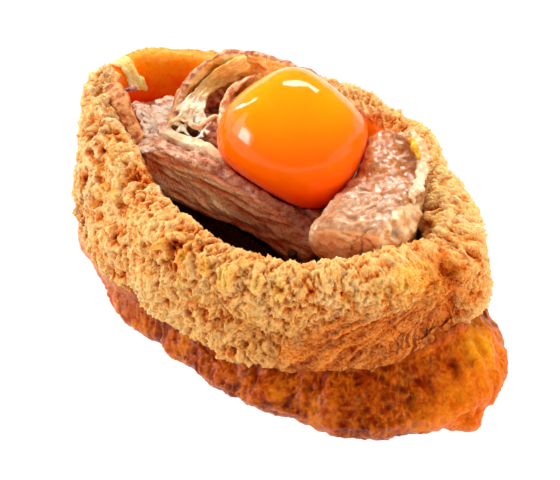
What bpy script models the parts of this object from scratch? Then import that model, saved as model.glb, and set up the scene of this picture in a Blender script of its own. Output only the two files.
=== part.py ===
"""Open inari sushi: a boat-shaped fried tofu pouch filled with rice, beef and an egg yolk.

The pouch stands on a small flat spot. Its rim is folded outwards into a deep spongy cuff
whose ragged hem hangs over the smooth skin below. The rice fills the pouch unevenly and
leaves a deep gap behind the near wall. Pieces of simmered beef lie on the rice and a
whole yolk rests between them.

Lengths are in millimetres up to add_object(), which turns them into metres.
+X runs along the pouch, -Y is its near side, +Z is up. The origin is on the base.
"""
import math
from typing import NamedTuple

import bmesh
import bpy
import numpy as np

MM = 0.001
GAP = 0.3            # clearance kept between pieces that touch
SEGMENTS = 64        # points round the pouch
PART = "inari_sushi"


class Outline(NamedTuple):
    """A level curve of the pouch: a lens with its own reach on each side.

    A point of 1 makes an end round like an ellipse and 2 makes it a sharp wedge.
    A swell above 0 moves the widest place of that side towards +X.
    """
    left: float
    right: float
    near: float
    far: float
    point_left: float
    point_right: float
    swell_near: float
    swell_far: float
    skew: float


class Meat(NamedTuple):
    """A piece of meat swept along a smooth spine.

    The half sizes and the lean are values at even steps along the spine. lean tilts the
    section about the spine, in degrees. face_turn turns the two end faces away from square.
    """
    spine: list
    half_widths: tuple
    half_heights: tuple
    lean: tuple = (0.0, 0.0)
    stations: int = 12
    sides: int = 16
    square: float = 3.6      # 2 is an ellipse, higher is closer to a rectangle
    lumps: float = 0.3
    seed: float = 0.0
    round_end: float = 1.4
    face_turn: float = 0.0


# Pouch: level curves from the bottom to the rim
BILGE = Outline(41.4, 44.9, 29.1, 19.3, 0.98, 0.70, 0.06, -0.07, -0.03)
HEM = Outline(43.8, 39.2, 28.2, 21.6, 1.0, 0.97, 0.12, 0.0, 0.03)
BELLY = Outline(44.1, 40.3, 29.2, 23.7, 1.24, 1.41, 0.16, 0.0, 0.04)
CREST = Outline(40.6, 38.1, 24.8, 20.2, 1.17, 2.0, 0.32, -0.06, 0.03)

CREST_Z = 27.5           # centre of the rolled rim
ROLL_RADIUS = 3.0
WALL = 2.5               # thickness of the tofu skin
FLOOR_Z = 2.4            # heights inside the pouch, from the floor up the wall
FOOT_Z = 3.7
KNEE_Z = 6.4
MIDDLE_Z = 12.5
HEM_MEAN_Z = 12.1        # the hem runs low at the left and high at the right
HEM_TILT = 4.1
HEM_TILT_TURN = 27.0
HEM_PROUD = 2.3          # step from the cuff's lip back to the skin
EAR_STATION = 0.10       # share of the hem height at which the skin has its torn tip

# Filling
RICE_Z = 22.0
RICE_MOUNDS = [          # place, rise, and size along X and Y
    (-25.0, -8.5, 3.8, 6.0, 4.8),
    (-30.0, -3.0, 2.4, 4.5, 4.5),
    (-18.5, 2.5, 4.0, 6.0, 5.0),
]
HOLLOW_DEPTH = 12.5      # the deep gap behind the near wall
HOLLOW_NEAR_Y = -8.5     # the rice falls from here towards the near wall
HOLLOW_BANK = 5.0        # and reaches the full depth over this distance
HOLLOW_LEFT_X = -25.0    # the gap begins here and is full this much further on
HOLLOW_LEFT_BANK = 6.0
HOLLOW_RIGHT_X = 34.0    # it ends here, after a long slope
HOLLOW_RIGHT_BANK = 22.0
RICE_CLEARANCE = 0.8     # kept to the wall, where two lofts with unlike facets face each other

SLAB = Meat(
    spine=[(-22.5, -9.6, 24.2), (-10.0, -7.6, 24.0), (2.0, -6.2, 22.6), (11.0, -5.4, 20.6)],
    half_widths=(3.5, 3.2), half_heights=(5.1, 4.3), lean=(6.0, 6.0), stations=11,
    square=4.5, lumps=0.25, seed=1.0, face_turn=-14.0)
CHUNK = Meat(
    spine=[(20.7, -8.0, 26.3), (19.2, 0.0, 26.6), (15.0, 9.0, 27.0), (10.6, 15.2, 27.4)],
    half_widths=(7.4, 7.8, 8.1, 6.5, 5.5, 4.9), half_heights=(5.1, 5.6), lean=(-3.0, -3.0),
    sides=20, square=3.8, lumps=0.45, seed=2.3, face_turn=20.0)
BACK_SLICE = Meat(
    spine=[(-24.6, -2.6, 25.0), (-26.4, 3.2, 27.2), (-24.0, 9.6, 29.0),
           (-17.6, 12.6, 30.6), (-9.6, 14.0, 30.8), (-2.0, 14.6, 29.0)],
    half_widths=(1.15, 1.15), half_heights=(3.6, 5.2, 6.5, 6.5, 6.5, 6.5), lean=(-14.0, -8.0),
    stations=18, sides=12, square=3.0, lumps=0.12, seed=0.4, round_end=1.0)
WEB = Meat(
    spine=[(-23.2, 6.0, 29.4), (-19.8, 2.8, 27.6), (-16.2, 0.6, 26.8), (-12.0, 0.4, 26.0)],
    half_widths=(4.4, 3.2), half_heights=(0.65, 0.65), lean=(12.0, 12.0),
    stations=9, sides=12, square=3.0, lumps=0.10, seed=3.0, round_end=0.9)
WEB_HOLES = [            # share of the spine, offset across it, radius
    (0.42, -1.3, 1.3),
    (0.70, 1.2, 1.0),
]
STRIP = Meat(
    spine=[(-36.2, -5.8, 30.0), (-33.2, -7.4, 30.2), (-29.4, -9.4, 28.2), (-25.4, -11.2, 25.8)],
    half_widths=(1.9, 2.4), half_heights=(1.1, 1.1), lean=(-38.0, -38.0),
    stations=9, sides=10, square=2.6, lumps=0.15, seed=5.0, round_end=1.0)
SLIVER = Meat(
    spine=[(-32.4, -2.8, 26.2), (-29.2, -4.6, 26.4), (-25.6, -7.0, 25.4)],
    half_widths=(1.7, 1.7), half_heights=(1.2, 1.2), lean=(15.0, 15.0),
    stations=7, sides=10, square=2.6, lumps=0.15, seed=6.0, round_end=1.0)

YOLK_CENTRE = (-0.7, 2.0, 33.0)
YOLK_RADIUS = 13.2
YOLK_SOFTNESS = 9.0      # how sharply the flats below blend into the ball
YOLK_FLATS = [           # direction and distance of each place where the yolk lies flat
    ((0.15, 0.81, 0.57), 11.0),
    ((-0.03, -0.78, -0.63), 10.4),
    ((0.87, 0.38, -0.31), 12.2),
    ((-0.78, 0.07, 0.62), 12.2),
]


# ---------------------------------------------------------------- small tools

def clear_scene():
    for old in list(bpy.data.objects):
        bpy.data.objects.remove(old, do_unlink=True)


def make_collection(name):
    collection = bpy.data.collections.new(name)
    bpy.context.scene.collection.children.link(collection)
    return collection


def make_material(name, colour, roughness, subsurface=0.0):
    material = bpy.data.materials.new(name)
    material.use_nodes = True
    shader = material.node_tree.nodes["Principled BSDF"]
    shader.inputs["Base Color"].default_value = (*colour, 1.0)
    shader.inputs["Roughness"].default_value = roughness
    shader.inputs["Metallic"].default_value = 0.0
    shader.inputs["Subsurface Weight"].default_value = subsurface
    material.diffuse_color = (*colour, 1.0)
    return material


def add_object(name, points, faces, material, collection):
    """Make a closed mesh object from points in millimetres."""
    mesh = bpy.data.meshes.new(name)
    mesh.from_pydata([tuple(float(c) * MM for c in p) for p in points], [], faces)
    shape = bmesh.new()
    shape.from_mesh(mesh)
    bmesh.ops.recalc_face_normals(shape, faces=shape.faces)
    if shape.calc_volume(signed=True) < 0:
        bmesh.ops.reverse_faces(shape, faces=shape.faces)
    shape.to_mesh(mesh)
    shape.free()
    mesh.shade_smooth()
    mesh.set_sharp_from_angle(angle=math.radians(50))
    mesh.materials.append(material)
    piece = bpy.data.objects.new(name, mesh)
    collection.objects.link(piece)
    return piece


def loft(rings, flat_start=False):
    """Join rings of equal length with quads and close both ends."""
    count = len(rings[0])
    points = [tuple(p) for ring in rings for p in ring]
    faces = []
    for level in range(len(rings) - 1):
        low = level * count
        for i in range(count):
            j = (i + 1) % count
            faces.append((low + i, low + j, low + count + j, low + count + i))
    last = (len(rings) - 1) * count
    if flat_start:
        faces.append(tuple(reversed(range(count))))
    else:
        hub = len(points)
        points.append(tuple(np.mean(rings[0], axis=0)))
        faces += [((i + 1) % count, i, hub) for i in range(count)]
    hub = len(points)
    points.append(tuple(np.mean(rings[-1], axis=0)))
    faces += [(last + i, last + (i + 1) % count, hub) for i in range(count)]
    return points, faces


def smooth_step(value):
    value = np.clip(value, 0.0, 1.0)
    return value * value * (3.0 - 2.0 * value)


def bump(turn, centre, width):
    """A bell curve round the pouch, centred at an angle in degrees."""
    offset = (np.degrees(turn) - centre + 180.0) % 360.0 - 180.0
    return np.exp(-(offset / width) ** 2)


def waves(turn, terms):
    """Unevenness round the pouch: a sum of (size, waves per turn, phase)."""
    return sum(size * np.sin(count * turn + phase) for size, count, phase in terms)


def curve_points(controls, samples):
    """A smooth curve through a few control points (Catmull-Rom)."""
    nodes = np.array(controls, float)
    nodes = np.vstack([2 * nodes[0] - nodes[1], nodes, 2 * nodes[-1] - nodes[-2]])
    spans = len(controls) - 1
    points = []
    for place in samples:
        span = min(int(place * spans), spans - 1)
        t = place * spans - span
        a, b, c, d = nodes[span:span + 4]
        points.append(0.5 * (2 * b + (c - a) * t + (2 * a - 5 * b + 4 * c - d) * t ** 2
                             + (3 * b - a - 3 * c + d) * t ** 3))
    return np.array(points)


# ------------------------------------------------------------ pouch geometry

TURN = np.linspace(0.0, 2.0 * math.pi, SEGMENTS, endpoint=False)


def blend(a, b, share):
    return Outline(*(p + (q - p) * share for p, q in zip(a, b)))


def scaled(outline, factor):
    return outline._replace(left=outline.left * factor, right=outline.right * factor,
                            near=outline.near * factor, far=outline.far * factor)


def grown(outline, distance):
    """Move an outline outwards, or inwards by a distance below 0.

    Inwards, the tip of a sharp end moves further than its sides. Outwards, the end
    gets rounder instead.
    """
    def tip(point):
        return distance * (1.0 + 0.3 * (point - 1.0)) if distance < 0 else distance

    def rounder(point):
        return 1.0 + (point - 1.0) * (1.0 - 0.09 * max(distance, 0.0))

    return outline._replace(left=outline.left + tip(outline.point_left),
                            right=outline.right + tip(outline.point_right),
                            near=outline.near + distance, far=outline.far + distance,
                            point_left=rounder(outline.point_left),
                            point_right=rounder(outline.point_right))


def ring(outline, height, outward=0.0):
    """Points of an outline at a height, moved outwards by an amount per point."""
    cos, sin = np.cos(TURN), np.sin(TURN)
    point = outline.point_left + (outline.point_right - outline.point_left) * (1 + cos) / 2
    middle = (outline.right - outline.left) / 2
    x = middle + (outline.right + outline.left) / 2 * cos
    side = np.where(sin > 0, outline.far * (1 + outline.swell_far * cos),
                    outline.near * (1 + outline.swell_near * cos))
    y = side * np.sign(sin) * np.maximum(np.abs(sin), 1e-6) ** point + outline.skew * x
    along_x = np.roll(x, -1) - np.roll(x, 1)
    along_y = np.roll(y, -1) - np.roll(y, 1)
    length = np.hypot(along_x, along_y)
    x = x + along_y / length * outward
    y = y - along_x / length * outward
    return np.column_stack([x, y, np.zeros(SEGMENTS) + height])


def hem_height():
    tilt = HEM_TILT * np.cos(TURN - math.radians(HEM_TILT_TURN))
    ragged = waves(TURN, [(0.35, 7, 0.4), (0.30, 12, 2.1), (0.22, 19, 4.0)])
    flap = -1.3 * bump(TURN, -76.0, 6.0)
    return HEM_MEAN_Z + tilt + ragged + flap


def crease(height):
    """The fold at the right end, where both sides of the cuff meet.

    It opens at the rim and runs down and round to the near side.
    """
    drop = np.clip((CREST_Z - height) / 20.0, 0.0, 1.0)
    return bump(TURN, -4.0 - 30.0 * drop, 7.0 + 3.0 * drop)


def skin_rings():
    """The skin from the flat base to the tuck behind the hem."""
    hem = hem_height()
    tuck = grown(HEM, -HEM_PROUD)
    corner = bump(TURN, -22.0, 9.0)                  # the bag's corner at the right end
    lobe = bump(TURN, 4.0, 22.0)
    wrinkles = waves(TURN, [(0.45, 9, 1.0), (0.30, 15, 0.3), (0.25, 23, 2.2)])
    stations = [                                     # share of the hem height, curve, folds
        (0.03, scaled(BILGE, 0.78), 0.0),
        (EAR_STATION, grown(BILGE, -3.4), 0.3),
        (0.26, grown(BILGE, -1.0), 0.8),
        (0.46, BILGE, 1.0),
        (0.68, blend(BILGE, tuck, 0.30), 1.0),
        (0.88, blend(BILGE, tuck, 0.85), 0.6),
    ]
    rings = [ring(scaled(BILGE, 0.56), 0.0)]
    ear = 3.2 * bump(TURN, -5.6, 3.0)               # a torn tip that lies on the ground
    for share, outline, folds in stations:
        outward = folds * (wrinkles - 1.5 * corner + 0.7 * lobe)
        if share == EAR_STATION:
            outward = outward + ear
        rings.append(ring(outline, hem * share, outward))
    rings.append(ring(tuck, hem + 0.7))
    return rings


def cuff_rings():
    """The folded cuff from its hem up to the crest of the rim."""
    hem = hem_height()
    shoulder = grown(CREST, ROLL_RADIUS)
    lumps = waves(TURN, [(0.35, 6, 2.0), (0.30, 11, 0.7), (0.25, 17, 3.3)])
    rings = [
        ring(grown(HEM, -1.2), hem - 0.1, 0.3 * lumps),
        ring(grown(HEM, -0.2), hem - 0.4, 0.7 * lumps),
        ring(grown(HEM, 0.6), hem + 0.8, lumps),
    ]
    stations = [(0.25, blend(HEM, BELLY, 0.8)), (0.52, BELLY),
                (0.80, blend(BELLY, shoulder, 0.55)), (1.0, shoulder)]
    for share, outline in stations:
        height = hem + (CREST_Z - hem) * share
        roll = np.roll(lumps, round(6 * share))
        rings.append(ring(outline, height, roll - 1.6 * crease(height)))
    return rings


def rim_rings():
    """The rolled rim, from its outer shoulder over the crest to the inner wall."""
    uneven = waves(TURN, [(0.35, 5, 0.6), (0.30, 9, 2.4), (0.2, 16, 1.1)])
    notch = bump(TURN, -4.0, 6.0)
    rings = []
    for degrees in (52, 90, 130):
        angle = math.radians(degrees)
        outline = grown(CREST, ROLL_RADIUS * math.cos(angle))
        height = CREST_Z + (ROLL_RADIUS + uneven - 2.2 * notch) * math.sin(angle)
        rings.append(ring(outline, height))
    return rings


def inner_stations(clearance=0.0):
    """The wall inside the pouch from the rim to the floor: height and curve."""
    lip = grown(CREST, -ROLL_RADIUS)
    middle = grown(HEM, -HEM_PROUD - WALL - 0.8)
    knee = grown(BILGE, -2 * WALL + 0.4)._replace(point_right=middle.point_right)
    stations = [(MIDDLE_Z + (CREST_Z - MIDDLE_Z) * share, blend(middle, lip, share))
                for share in (1.0, 0.75, 0.5, 0.25, 0.0)]
    stations += [(KNEE_Z, knee), (FOOT_Z, scaled(knee, 0.94)), (FLOOR_Z, scaled(knee, 0.80))]
    return [(height, grown(outline, -clearance)) for height, outline in stations]


def build_pouch(material, collection):
    inner = [ring(outline, height) for height, outline in inner_stations()]
    rings = skin_rings() + cuff_rings() + rim_rings() + inner
    points, faces = loft(rings, flat_start=True)
    return add_object("tofu_pouch", points, faces, material, collection)


# -------------------------------------------------------------- rice geometry

def rice_height(x, y):
    """Top of the rice: a bed with a mound at the left and a hollow behind the near wall."""
    hollow = smooth_step((HOLLOW_NEAR_Y - y) / HOLLOW_BANK)
    hollow = hollow * smooth_step((x - HOLLOW_LEFT_X) / HOLLOW_LEFT_BANK)
    hollow = hollow * smooth_step((HOLLOW_RIGHT_X - x) / HOLLOW_RIGHT_BANK)
    mounds = sum(rise * np.exp(-((x - mx) / width) ** 2 - ((y - my) / depth) ** 2)
                 for mx, my, rise, width, depth in RICE_MOUNDS)
    grains = 0.35 * np.sin(1.1 * x + 0.4) * np.sin(1.3 * y) + 0.25 * np.sin(0.7 * x - 1.6 * y)
    return RICE_Z - HOLLOW_DEPTH * hollow + mounds + grains


def wall_ring(heights):
    """Every second point of the inner wall, with clearance, at one height per point."""
    stations = inner_stations(RICE_CLEARANCE)
    levels = [height for height, _ in reversed(stations)]
    rings = np.array([ring(outline, height)[::2] for height, outline in reversed(stations)])
    points = np.zeros((len(heights), 3))
    for i, height in enumerate(heights):
        # The wall widens from the floor up, so the place a gap lower keeps clear of it.
        points[i, 0] = np.interp(height - GAP, levels, rings[:, i, 0])
        points[i, 1] = np.interp(height - GAP, levels, rings[:, i, 1])
        points[i, 2] = height
    return points


def build_rice(material, collection):
    edge = wall_ring(np.full(SEGMENTS // 2, RICE_Z))
    for _ in range(3):
        edge = wall_ring(rice_height(edge[:, 0], edge[:, 1]))
    levels = [height + GAP for height, _ in reversed(inner_stations()) if height < RICE_Z]
    rings = []
    for place, level in enumerate(levels):
        below = 0.2 * (len(levels) - place)
        rings.append(wall_ring(np.minimum(level, edge[:, 2] - below)))
    rings.append(edge)
    for share in (0.88, 0.75, 0.62, 0.49, 0.35, 0.18):
        x = edge[:, 0] * share
        y = edge[:, 1] * share
        rings.append(np.column_stack([x, y, rice_height(x, y)]))
    points, faces = loft(rings)
    return add_object("rice_bed", points, faces, material, collection)


# ----------------------------------------------------------- filling geometry

def along(values, places):
    """Read a smooth row of values, given at even steps, at the places from 0 to 1."""
    return curve_points([(value,) for value in values], places)[:, 0]


def meat_piece(name, meat, material, collection):
    """Sweep a rounded box section along the spine, with slightly domed end faces."""
    shares = np.linspace(0.0, 1.0, meat.stations)
    middle = curve_points(meat.spine, shares)
    length = np.linalg.norm(np.diff(middle, axis=0), axis=1).sum()
    inset = meat.round_end / length
    caps = [(0.0, 0.62), (0.22 * inset, 0.84), (inset, 1.0)]       # place and size
    inner = [(t, 1.0) for t in shares if 1.5 * inset < t < 1.0 - 1.5 * inset]
    levels = caps + inner + [(1.0 - t, size) for t, size in reversed(caps)]
    places = np.array([t for t, _ in levels])
    centres = curve_points(meat.spine, places)
    tangents = (curve_points(meat.spine, np.clip(places + 0.02, 0, 1))
                - curve_points(meat.spine, np.clip(places - 0.02, 0, 1)))
    widths = along(meat.half_widths, places)
    heights = along(meat.half_heights, places)
    tilts = np.radians(along(meat.lean, places))

    phase = np.linspace(0.0, 2.0 * math.pi, meat.sides, endpoint=False)
    section = np.abs(np.cos(phase)) ** meat.square + np.abs(np.sin(phase)) ** meat.square
    section = section ** (-1 / meat.square)
    slide = math.tan(math.radians(meat.face_turn))
    rings = []
    for i, (t, size) in enumerate(levels):
        tangent = tangents[i] / np.linalg.norm(tangents[i])
        across = np.cross(tangent, (0.0, 0.0, 1.0))
        across = across / np.linalg.norm(across)
        upright = np.cross(across, tangent)
        side = across * math.cos(tilts[i]) + upright * math.sin(tilts[i])
        top = upright * math.cos(tilts[i]) - across * math.sin(tilts[i])
        waviness = (np.sin(2 * phase + 9 * t + meat.seed)
                    + 0.7 * np.sin(3 * phase - 14 * t + 2 * meat.seed))
        uneven = section * (1.0 + meat.lumps / max(widths[i], heights[i]) * waviness)
        u = uneven * np.cos(phase) * widths[i] * size
        v = uneven * np.sin(phase) * heights[i] * (0.4 + 0.6 * size)
        points = centres[i] + u[:, None] * side + v[:, None] * top
        rings.append(points + (slide * u * (1.0 - 2.0 * t))[:, None] * tangent)
    points, faces = loft(rings)
    return add_object(name, points, faces, material, collection)


def build_slab(material, collection):
    """A thick slice on its long edge: fat along the top, its lean face to the gap."""
    return meat_piece("beef_slab", SLAB, material, collection)


def build_chunk(material, collection):
    """The big piece at the right, widest by its near end."""
    return meat_piece("beef_chunk", CHUNK, material, collection)


def build_back_slice(material, collection):
    """A thin slice that stands behind the yolk and curls round the left end."""
    return meat_piece("beef_back_slice", BACK_SLICE, material, collection)


def build_web(material, collection, cutters):
    """A thin torn sheet of fat between the back slice and the slab, with two holes."""
    web = meat_piece("beef_fat_web", WEB, material, collection)
    for place, offset, radius in WEB_HOLES:
        x, y, z = curve_points(WEB.spine, [place])[0]
        bpy.ops.mesh.primitive_cylinder_add(
            vertices=10, radius=radius * MM, depth=12.0 * MM,
            location=((x + offset) * MM, (y - offset) * MM, z * MM))
        hole = bpy.context.object
        hole.name = "web_hole"
        move_to(hole, cutters)
        cut(web, hole)
    return web


def build_strip(material, collection):
    """A thin curled strip that leans on the rim at the left end."""
    return meat_piece("beef_strip", STRIP, material, collection)


def build_sliver(material, collection):
    """A pale sliver of fat beside the strip."""
    return meat_piece("beef_sliver", SLIVER, material, collection)


def build_yolk(material, collection):
    """A soft ball that lies flat against its neighbours."""
    mesh = bpy.data.meshes.new("egg_yolk")
    ball = bmesh.new()
    bmesh.ops.create_uvsphere(ball, u_segments=28, v_segments=17, radius=1.0)
    for vertex in ball.verts:
        direction = vertex.co.normalized()
        squeeze = YOLK_RADIUS ** -YOLK_SOFTNESS
        for normal, distance in YOLK_FLATS:
            facing = max(0.0, sum(a * b for a, b in zip(direction, normal)))
            squeeze += (facing / distance) ** YOLK_SOFTNESS
        vertex.co = direction * squeeze ** (-1.0 / YOLK_SOFTNESS) * MM
    ball.to_mesh(mesh)
    ball.free()
    mesh.shade_smooth()
    mesh.materials.append(material)
    yolk = bpy.data.objects.new("egg_yolk", mesh)
    yolk.location = [c * MM for c in YOLK_CENTRE]
    collection.objects.link(yolk)
    return yolk


# ------------------------------------------------------- fitting the pieces

def move_to(piece, collection):
    for old in list(piece.users_collection):
        old.objects.unlink(piece)
    collection.objects.link(piece)
    piece.hide_render = True
    piece.display_type = "WIRE"


def cut(piece, cutter):
    modifier = piece.modifiers.new("cut_" + cutter.name, "BOOLEAN")
    modifier.operation = "DIFFERENCE"
    modifier.solver = "EXACT"
    modifier.object = cutter


def swollen(piece, collection):
    """A cutter in the shape of a piece as it is now, larger by the clearance."""
    graph = bpy.context.evaluated_depsgraph_get()
    mesh = bpy.data.meshes.new_from_object(piece.evaluated_get(graph))
    cutter = bpy.data.objects.new(piece.name + "_room", mesh)
    cutter.matrix_world = piece.matrix_world
    shape = bmesh.new()
    shape.from_mesh(mesh)
    shape.normal_update()
    normals = [vertex.normal.copy() for vertex in shape.verts]
    for vertex, normal in zip(shape.verts, normals):
        vertex.co += normal * (GAP + 0.05) * MM
    shape.to_mesh(mesh)
    shape.free()
    collection.objects.link(cutter)
    move_to(cutter, collection)
    return cutter


def boxes_meet(a, b):
    """Whether the boxes of two objects overlap, so that a cut can change anything."""
    low_a, high_a = world_box(a)
    low_b, high_b = world_box(b)
    return bool(np.all(low_a < high_b) and np.all(low_b < high_a))


def world_box(piece):
    corners = np.array([piece.matrix_world @ vertex.co for vertex in piece.data.vertices])
    return corners.min(axis=0), corners.max(axis=0)


def main():
    clear_scene()
    part = make_collection(PART)
    cutters = make_collection(PART + "_cutters")

    tofu = make_material("fried_tofu", (0.62, 0.30, 0.10), 0.55, 0.2)
    rice = make_material("rice", (0.80, 0.70, 0.55), 0.35, 0.3)
    beef = make_material("simmered_beef", (0.42, 0.18, 0.09), 0.35, 0.1)
    fat = make_material("beef_fat", (0.74, 0.48, 0.25), 0.30, 0.3)
    yolk_skin = make_material("egg_yolk", (0.98, 0.28, 0.01), 0.10, 0.4)

    pouch = build_pouch(tofu, part)
    yolk = build_yolk(yolk_skin, part)
    slab = build_slab(beef, part)
    chunk = build_chunk(beef, part)
    back = build_back_slice(fat, part)
    web = build_web(fat, part, cutters)
    strip = build_strip(beef, part)
    sliver = build_sliver(fat, part)
    bed = build_rice(rice, part)

    # The soft yolk shapes the meat, the meat shapes what is softer or thinner than itself,
    # and the rice fills what is left.
    in_order = [pouch, yolk, chunk, slab, back, strip, sliver, web, bed]
    for place, piece in enumerate(in_order[:-1]):
        room = swollen(piece, cutters)
        for other in in_order[place + 1:]:
            lofted_inside = piece is pouch and other is bed
            if boxes_meet(room, other) and not lofted_inside:
                cut(other, room)
        bpy.context.view_layer.update()


main()
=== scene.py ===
"""Looks of the open inari sushi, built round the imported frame.

Shapes are worked out in millimetres, in the frame's axes, and become metres when a mesh
is made. The tofu's shape is read from the CAD solid, the meat starts as a fine copy of
its solids, and colours are worked out for each point from the shape and from noise.
"""
import math

import bmesh
import bpy
import numpy as np
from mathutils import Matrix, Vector
from mathutils.bvhtree import BVHTree


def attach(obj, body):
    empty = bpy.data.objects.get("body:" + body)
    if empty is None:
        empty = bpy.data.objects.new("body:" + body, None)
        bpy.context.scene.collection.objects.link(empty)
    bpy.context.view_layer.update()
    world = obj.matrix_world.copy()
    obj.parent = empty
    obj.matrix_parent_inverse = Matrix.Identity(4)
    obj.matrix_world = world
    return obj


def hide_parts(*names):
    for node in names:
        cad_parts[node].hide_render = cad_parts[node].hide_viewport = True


MM = 0.001
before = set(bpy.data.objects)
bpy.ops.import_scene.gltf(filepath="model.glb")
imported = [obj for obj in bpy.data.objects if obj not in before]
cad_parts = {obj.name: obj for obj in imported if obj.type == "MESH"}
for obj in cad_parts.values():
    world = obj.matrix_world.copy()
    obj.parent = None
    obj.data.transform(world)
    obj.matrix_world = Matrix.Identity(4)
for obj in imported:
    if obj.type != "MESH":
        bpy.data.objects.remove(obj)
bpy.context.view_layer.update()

# Camera: it stands off the object and looks a little above and left of the middle.
AZIMUTH = math.radians(41.0)
ELEVATION = math.radians(42.0)
CAMERA_DISTANCE = 500.0
CAMERA_DROP = 1.0
CAMERA_LENS = 183.9
AIM_RIGHT = -1.75
AIM_UP = 9.97


# ------------------------------------------------------------------ camera

def add_camera():
    back = Vector((math.sin(AZIMUTH) * math.cos(ELEVATION),
                   -math.cos(AZIMUTH) * math.cos(ELEVATION), math.sin(ELEVATION)))
    right = Vector((math.cos(AZIMUTH), math.sin(AZIMUTH), 0.0))
    up = back.cross(right)
    middle = Vector((0.0, 0.0, -CAMERA_DROP))
    place = middle + back * CAMERA_DISTANCE
    aim = middle + right * AIM_RIGHT + up * AIM_UP
    data = bpy.data.cameras.new("camera")
    data.lens = CAMERA_LENS
    data.sensor_width = 36.0
    data.clip_start = 0.01
    camera = bpy.data.objects.new("camera", data)
    camera.location = place * MM
    camera.rotation_euler = (aim - place).to_track_quat("-Z", "Y").to_euler()
    bpy.context.scene.collection.objects.link(camera)
    bpy.context.scene.camera = camera


# ------------------------------------------------------------------- noise

GRADIENTS = np.random.default_rng(11).normal(size=(256, 3))
GRADIENTS /= np.linalg.norm(GRADIENTS, axis=1, keepdims=True)


def scramble(cell, seed):
    """Turn whole-number cells into well mixed whole numbers."""
    cell = cell.astype(np.uint32)
    mixed = (cell[..., 0] * np.uint32(73856093) ^ cell[..., 1] * np.uint32(19349663)
             ^ cell[..., 2] * np.uint32(83492791) ^ np.uint32((seed * 40503 + 977) % 2 ** 32))
    mixed = (mixed ^ (mixed >> np.uint32(15))) * np.uint32(2246822519)
    mixed = (mixed ^ (mixed >> np.uint32(13))) * np.uint32(3266489917)
    return mixed ^ (mixed >> np.uint32(16))


def noise(points, size, seed=0):
    """Smooth noise, about -1 to 1, with lumps of a size in mm (a number or one per axis)."""
    place = points / size
    cell = np.floor(place)
    part = place - cell
    cell = cell.astype(np.int64)
    fade = part ** 3 * (part * (part * 6.0 - 15.0) + 10.0)
    total = np.zeros(len(points))
    for corner in np.ndindex(2, 2, 2):
        gradient = GRADIENTS[scramble(cell + corner, seed) & np.uint32(255)]
        weight = np.prod(np.where(corner, fade, 1.0 - fade), axis=1)
        total += weight * ((part - corner) * gradient).sum(axis=1)
    return total * 1.7


def layered(points, size, octaves, seed=0):
    """Noise with finer and weaker noise on top."""
    total = np.zeros(len(points))
    for octave in range(octaves):
        total += noise(points, np.asarray(size) / 2 ** octave, seed + 31 * octave) / 2 ** octave
    return total


def ridges(points, size, seed=0):
    """Lines of crests, from 0 in the valleys to 1 along the crests."""
    return np.clip(1.0 - 1.6 * np.abs(noise(points, size, seed)), 0.0, 1.0)


def strands(points, across, along, seed=0):
    """Crests of short fibres that lie in several directions, patch by patch, from 0 to 1."""
    best = np.zeros(len(points))
    for number in range(5):
        direction = GRADIENTS[(seed * 5 + number) % len(GRADIENTS)]
        lengthwise = points @ direction
        squeezed = points - np.outer(lengthwise * (1.0 - across / along), direction)
        curl = warped(squeezed, 2.5 * across, 0.7 * across, seed + 7 * number)
        share = smooth_step(noise(points, 2.0 * along, seed + 90 + number), -0.5, 0.3)
        best = np.maximum(best, share * ridges(curl, across, seed + 3 * number))
    return best


def cells(points, size, seed=0):
    """Distances to the nearest and the second nearest scattered point, in cell sizes."""
    place = points / size
    base = np.floor(place).astype(np.int64)
    nearest = np.full(len(points), 9.0)
    second = np.full(len(points), 9.0)
    for step in np.ndindex(3, 3, 3):
        cell = base + step - np.array((1, 1, 1))
        code = scramble(cell, seed)
        jitter = np.stack([(code >> np.uint32(s)) & np.uint32(1023) for s in (0, 10, 20)], axis=1)
        distance = np.linalg.norm(place - cell - jitter / 1023.0, axis=1)
        second = np.minimum(second, np.maximum(nearest, distance))
        nearest = np.minimum(nearest, distance)
    return nearest, second


def warped(points, size, amount, seed=0):
    """Points shifted by noise, which makes what is read there curl."""
    shift = np.stack([noise(points, size, seed + k) for k in (1, 2, 3)], axis=1)
    return points + amount * shift


def smooth_step(value, low=0.0, high=1.0):
    share = np.clip((value - low) / (high - low), 0.0, 1.0)
    return share * share * (3.0 - 2.0 * share)


def around(points, centre, size):
    """A soft spot: 1 at its centre, fading over its size along X, Y and Z."""
    return np.exp(-(((points - np.array(centre)) / np.array(size)) ** 2).sum(axis=1))


def near_line(points, line, width):
    """1 on a line of straight pieces, fading to 0 over a width in mm."""
    best = np.full(len(points), 1e9)
    for start, end in zip(line[:-1], line[1:]):
        start, step = np.array(start), np.array(end) - np.array(start)
        share = np.clip((points - start) @ step / (step @ step), 0.0, 1.0)
        gap = np.linalg.norm(points - start - share[:, None] * step, axis=1)
        best = np.minimum(best, gap)
    return np.exp(-(best / width) ** 2)


# ------------------------------------------------------------------ colour

def srgb(red, green, blue):
    """A colour as seen on a screen, in linear light."""
    value = np.array((red, green, blue)) / 255.0
    return np.where(value < 0.04045, value / 12.92, ((value + 0.055) / 1.055) ** 2.4)


def mix(first, second, share):
    """Blend colours, given for all points or for each."""
    share = np.clip(np.asarray(share, float), 0.0, 1.0)[..., None]
    return first * (1.0 - share) + second * share


# ------------------------------------------------------------------- meshes

def make_object(name, points, faces):
    mesh = bpy.data.meshes.new(name)
    mesh.from_pydata((np.asarray(points) * MM).tolist(), [], faces)
    mesh.shade_smooth()
    piece = bpy.data.objects.new(name, mesh)
    bpy.context.scene.collection.objects.link(piece)
    return piece


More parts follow.
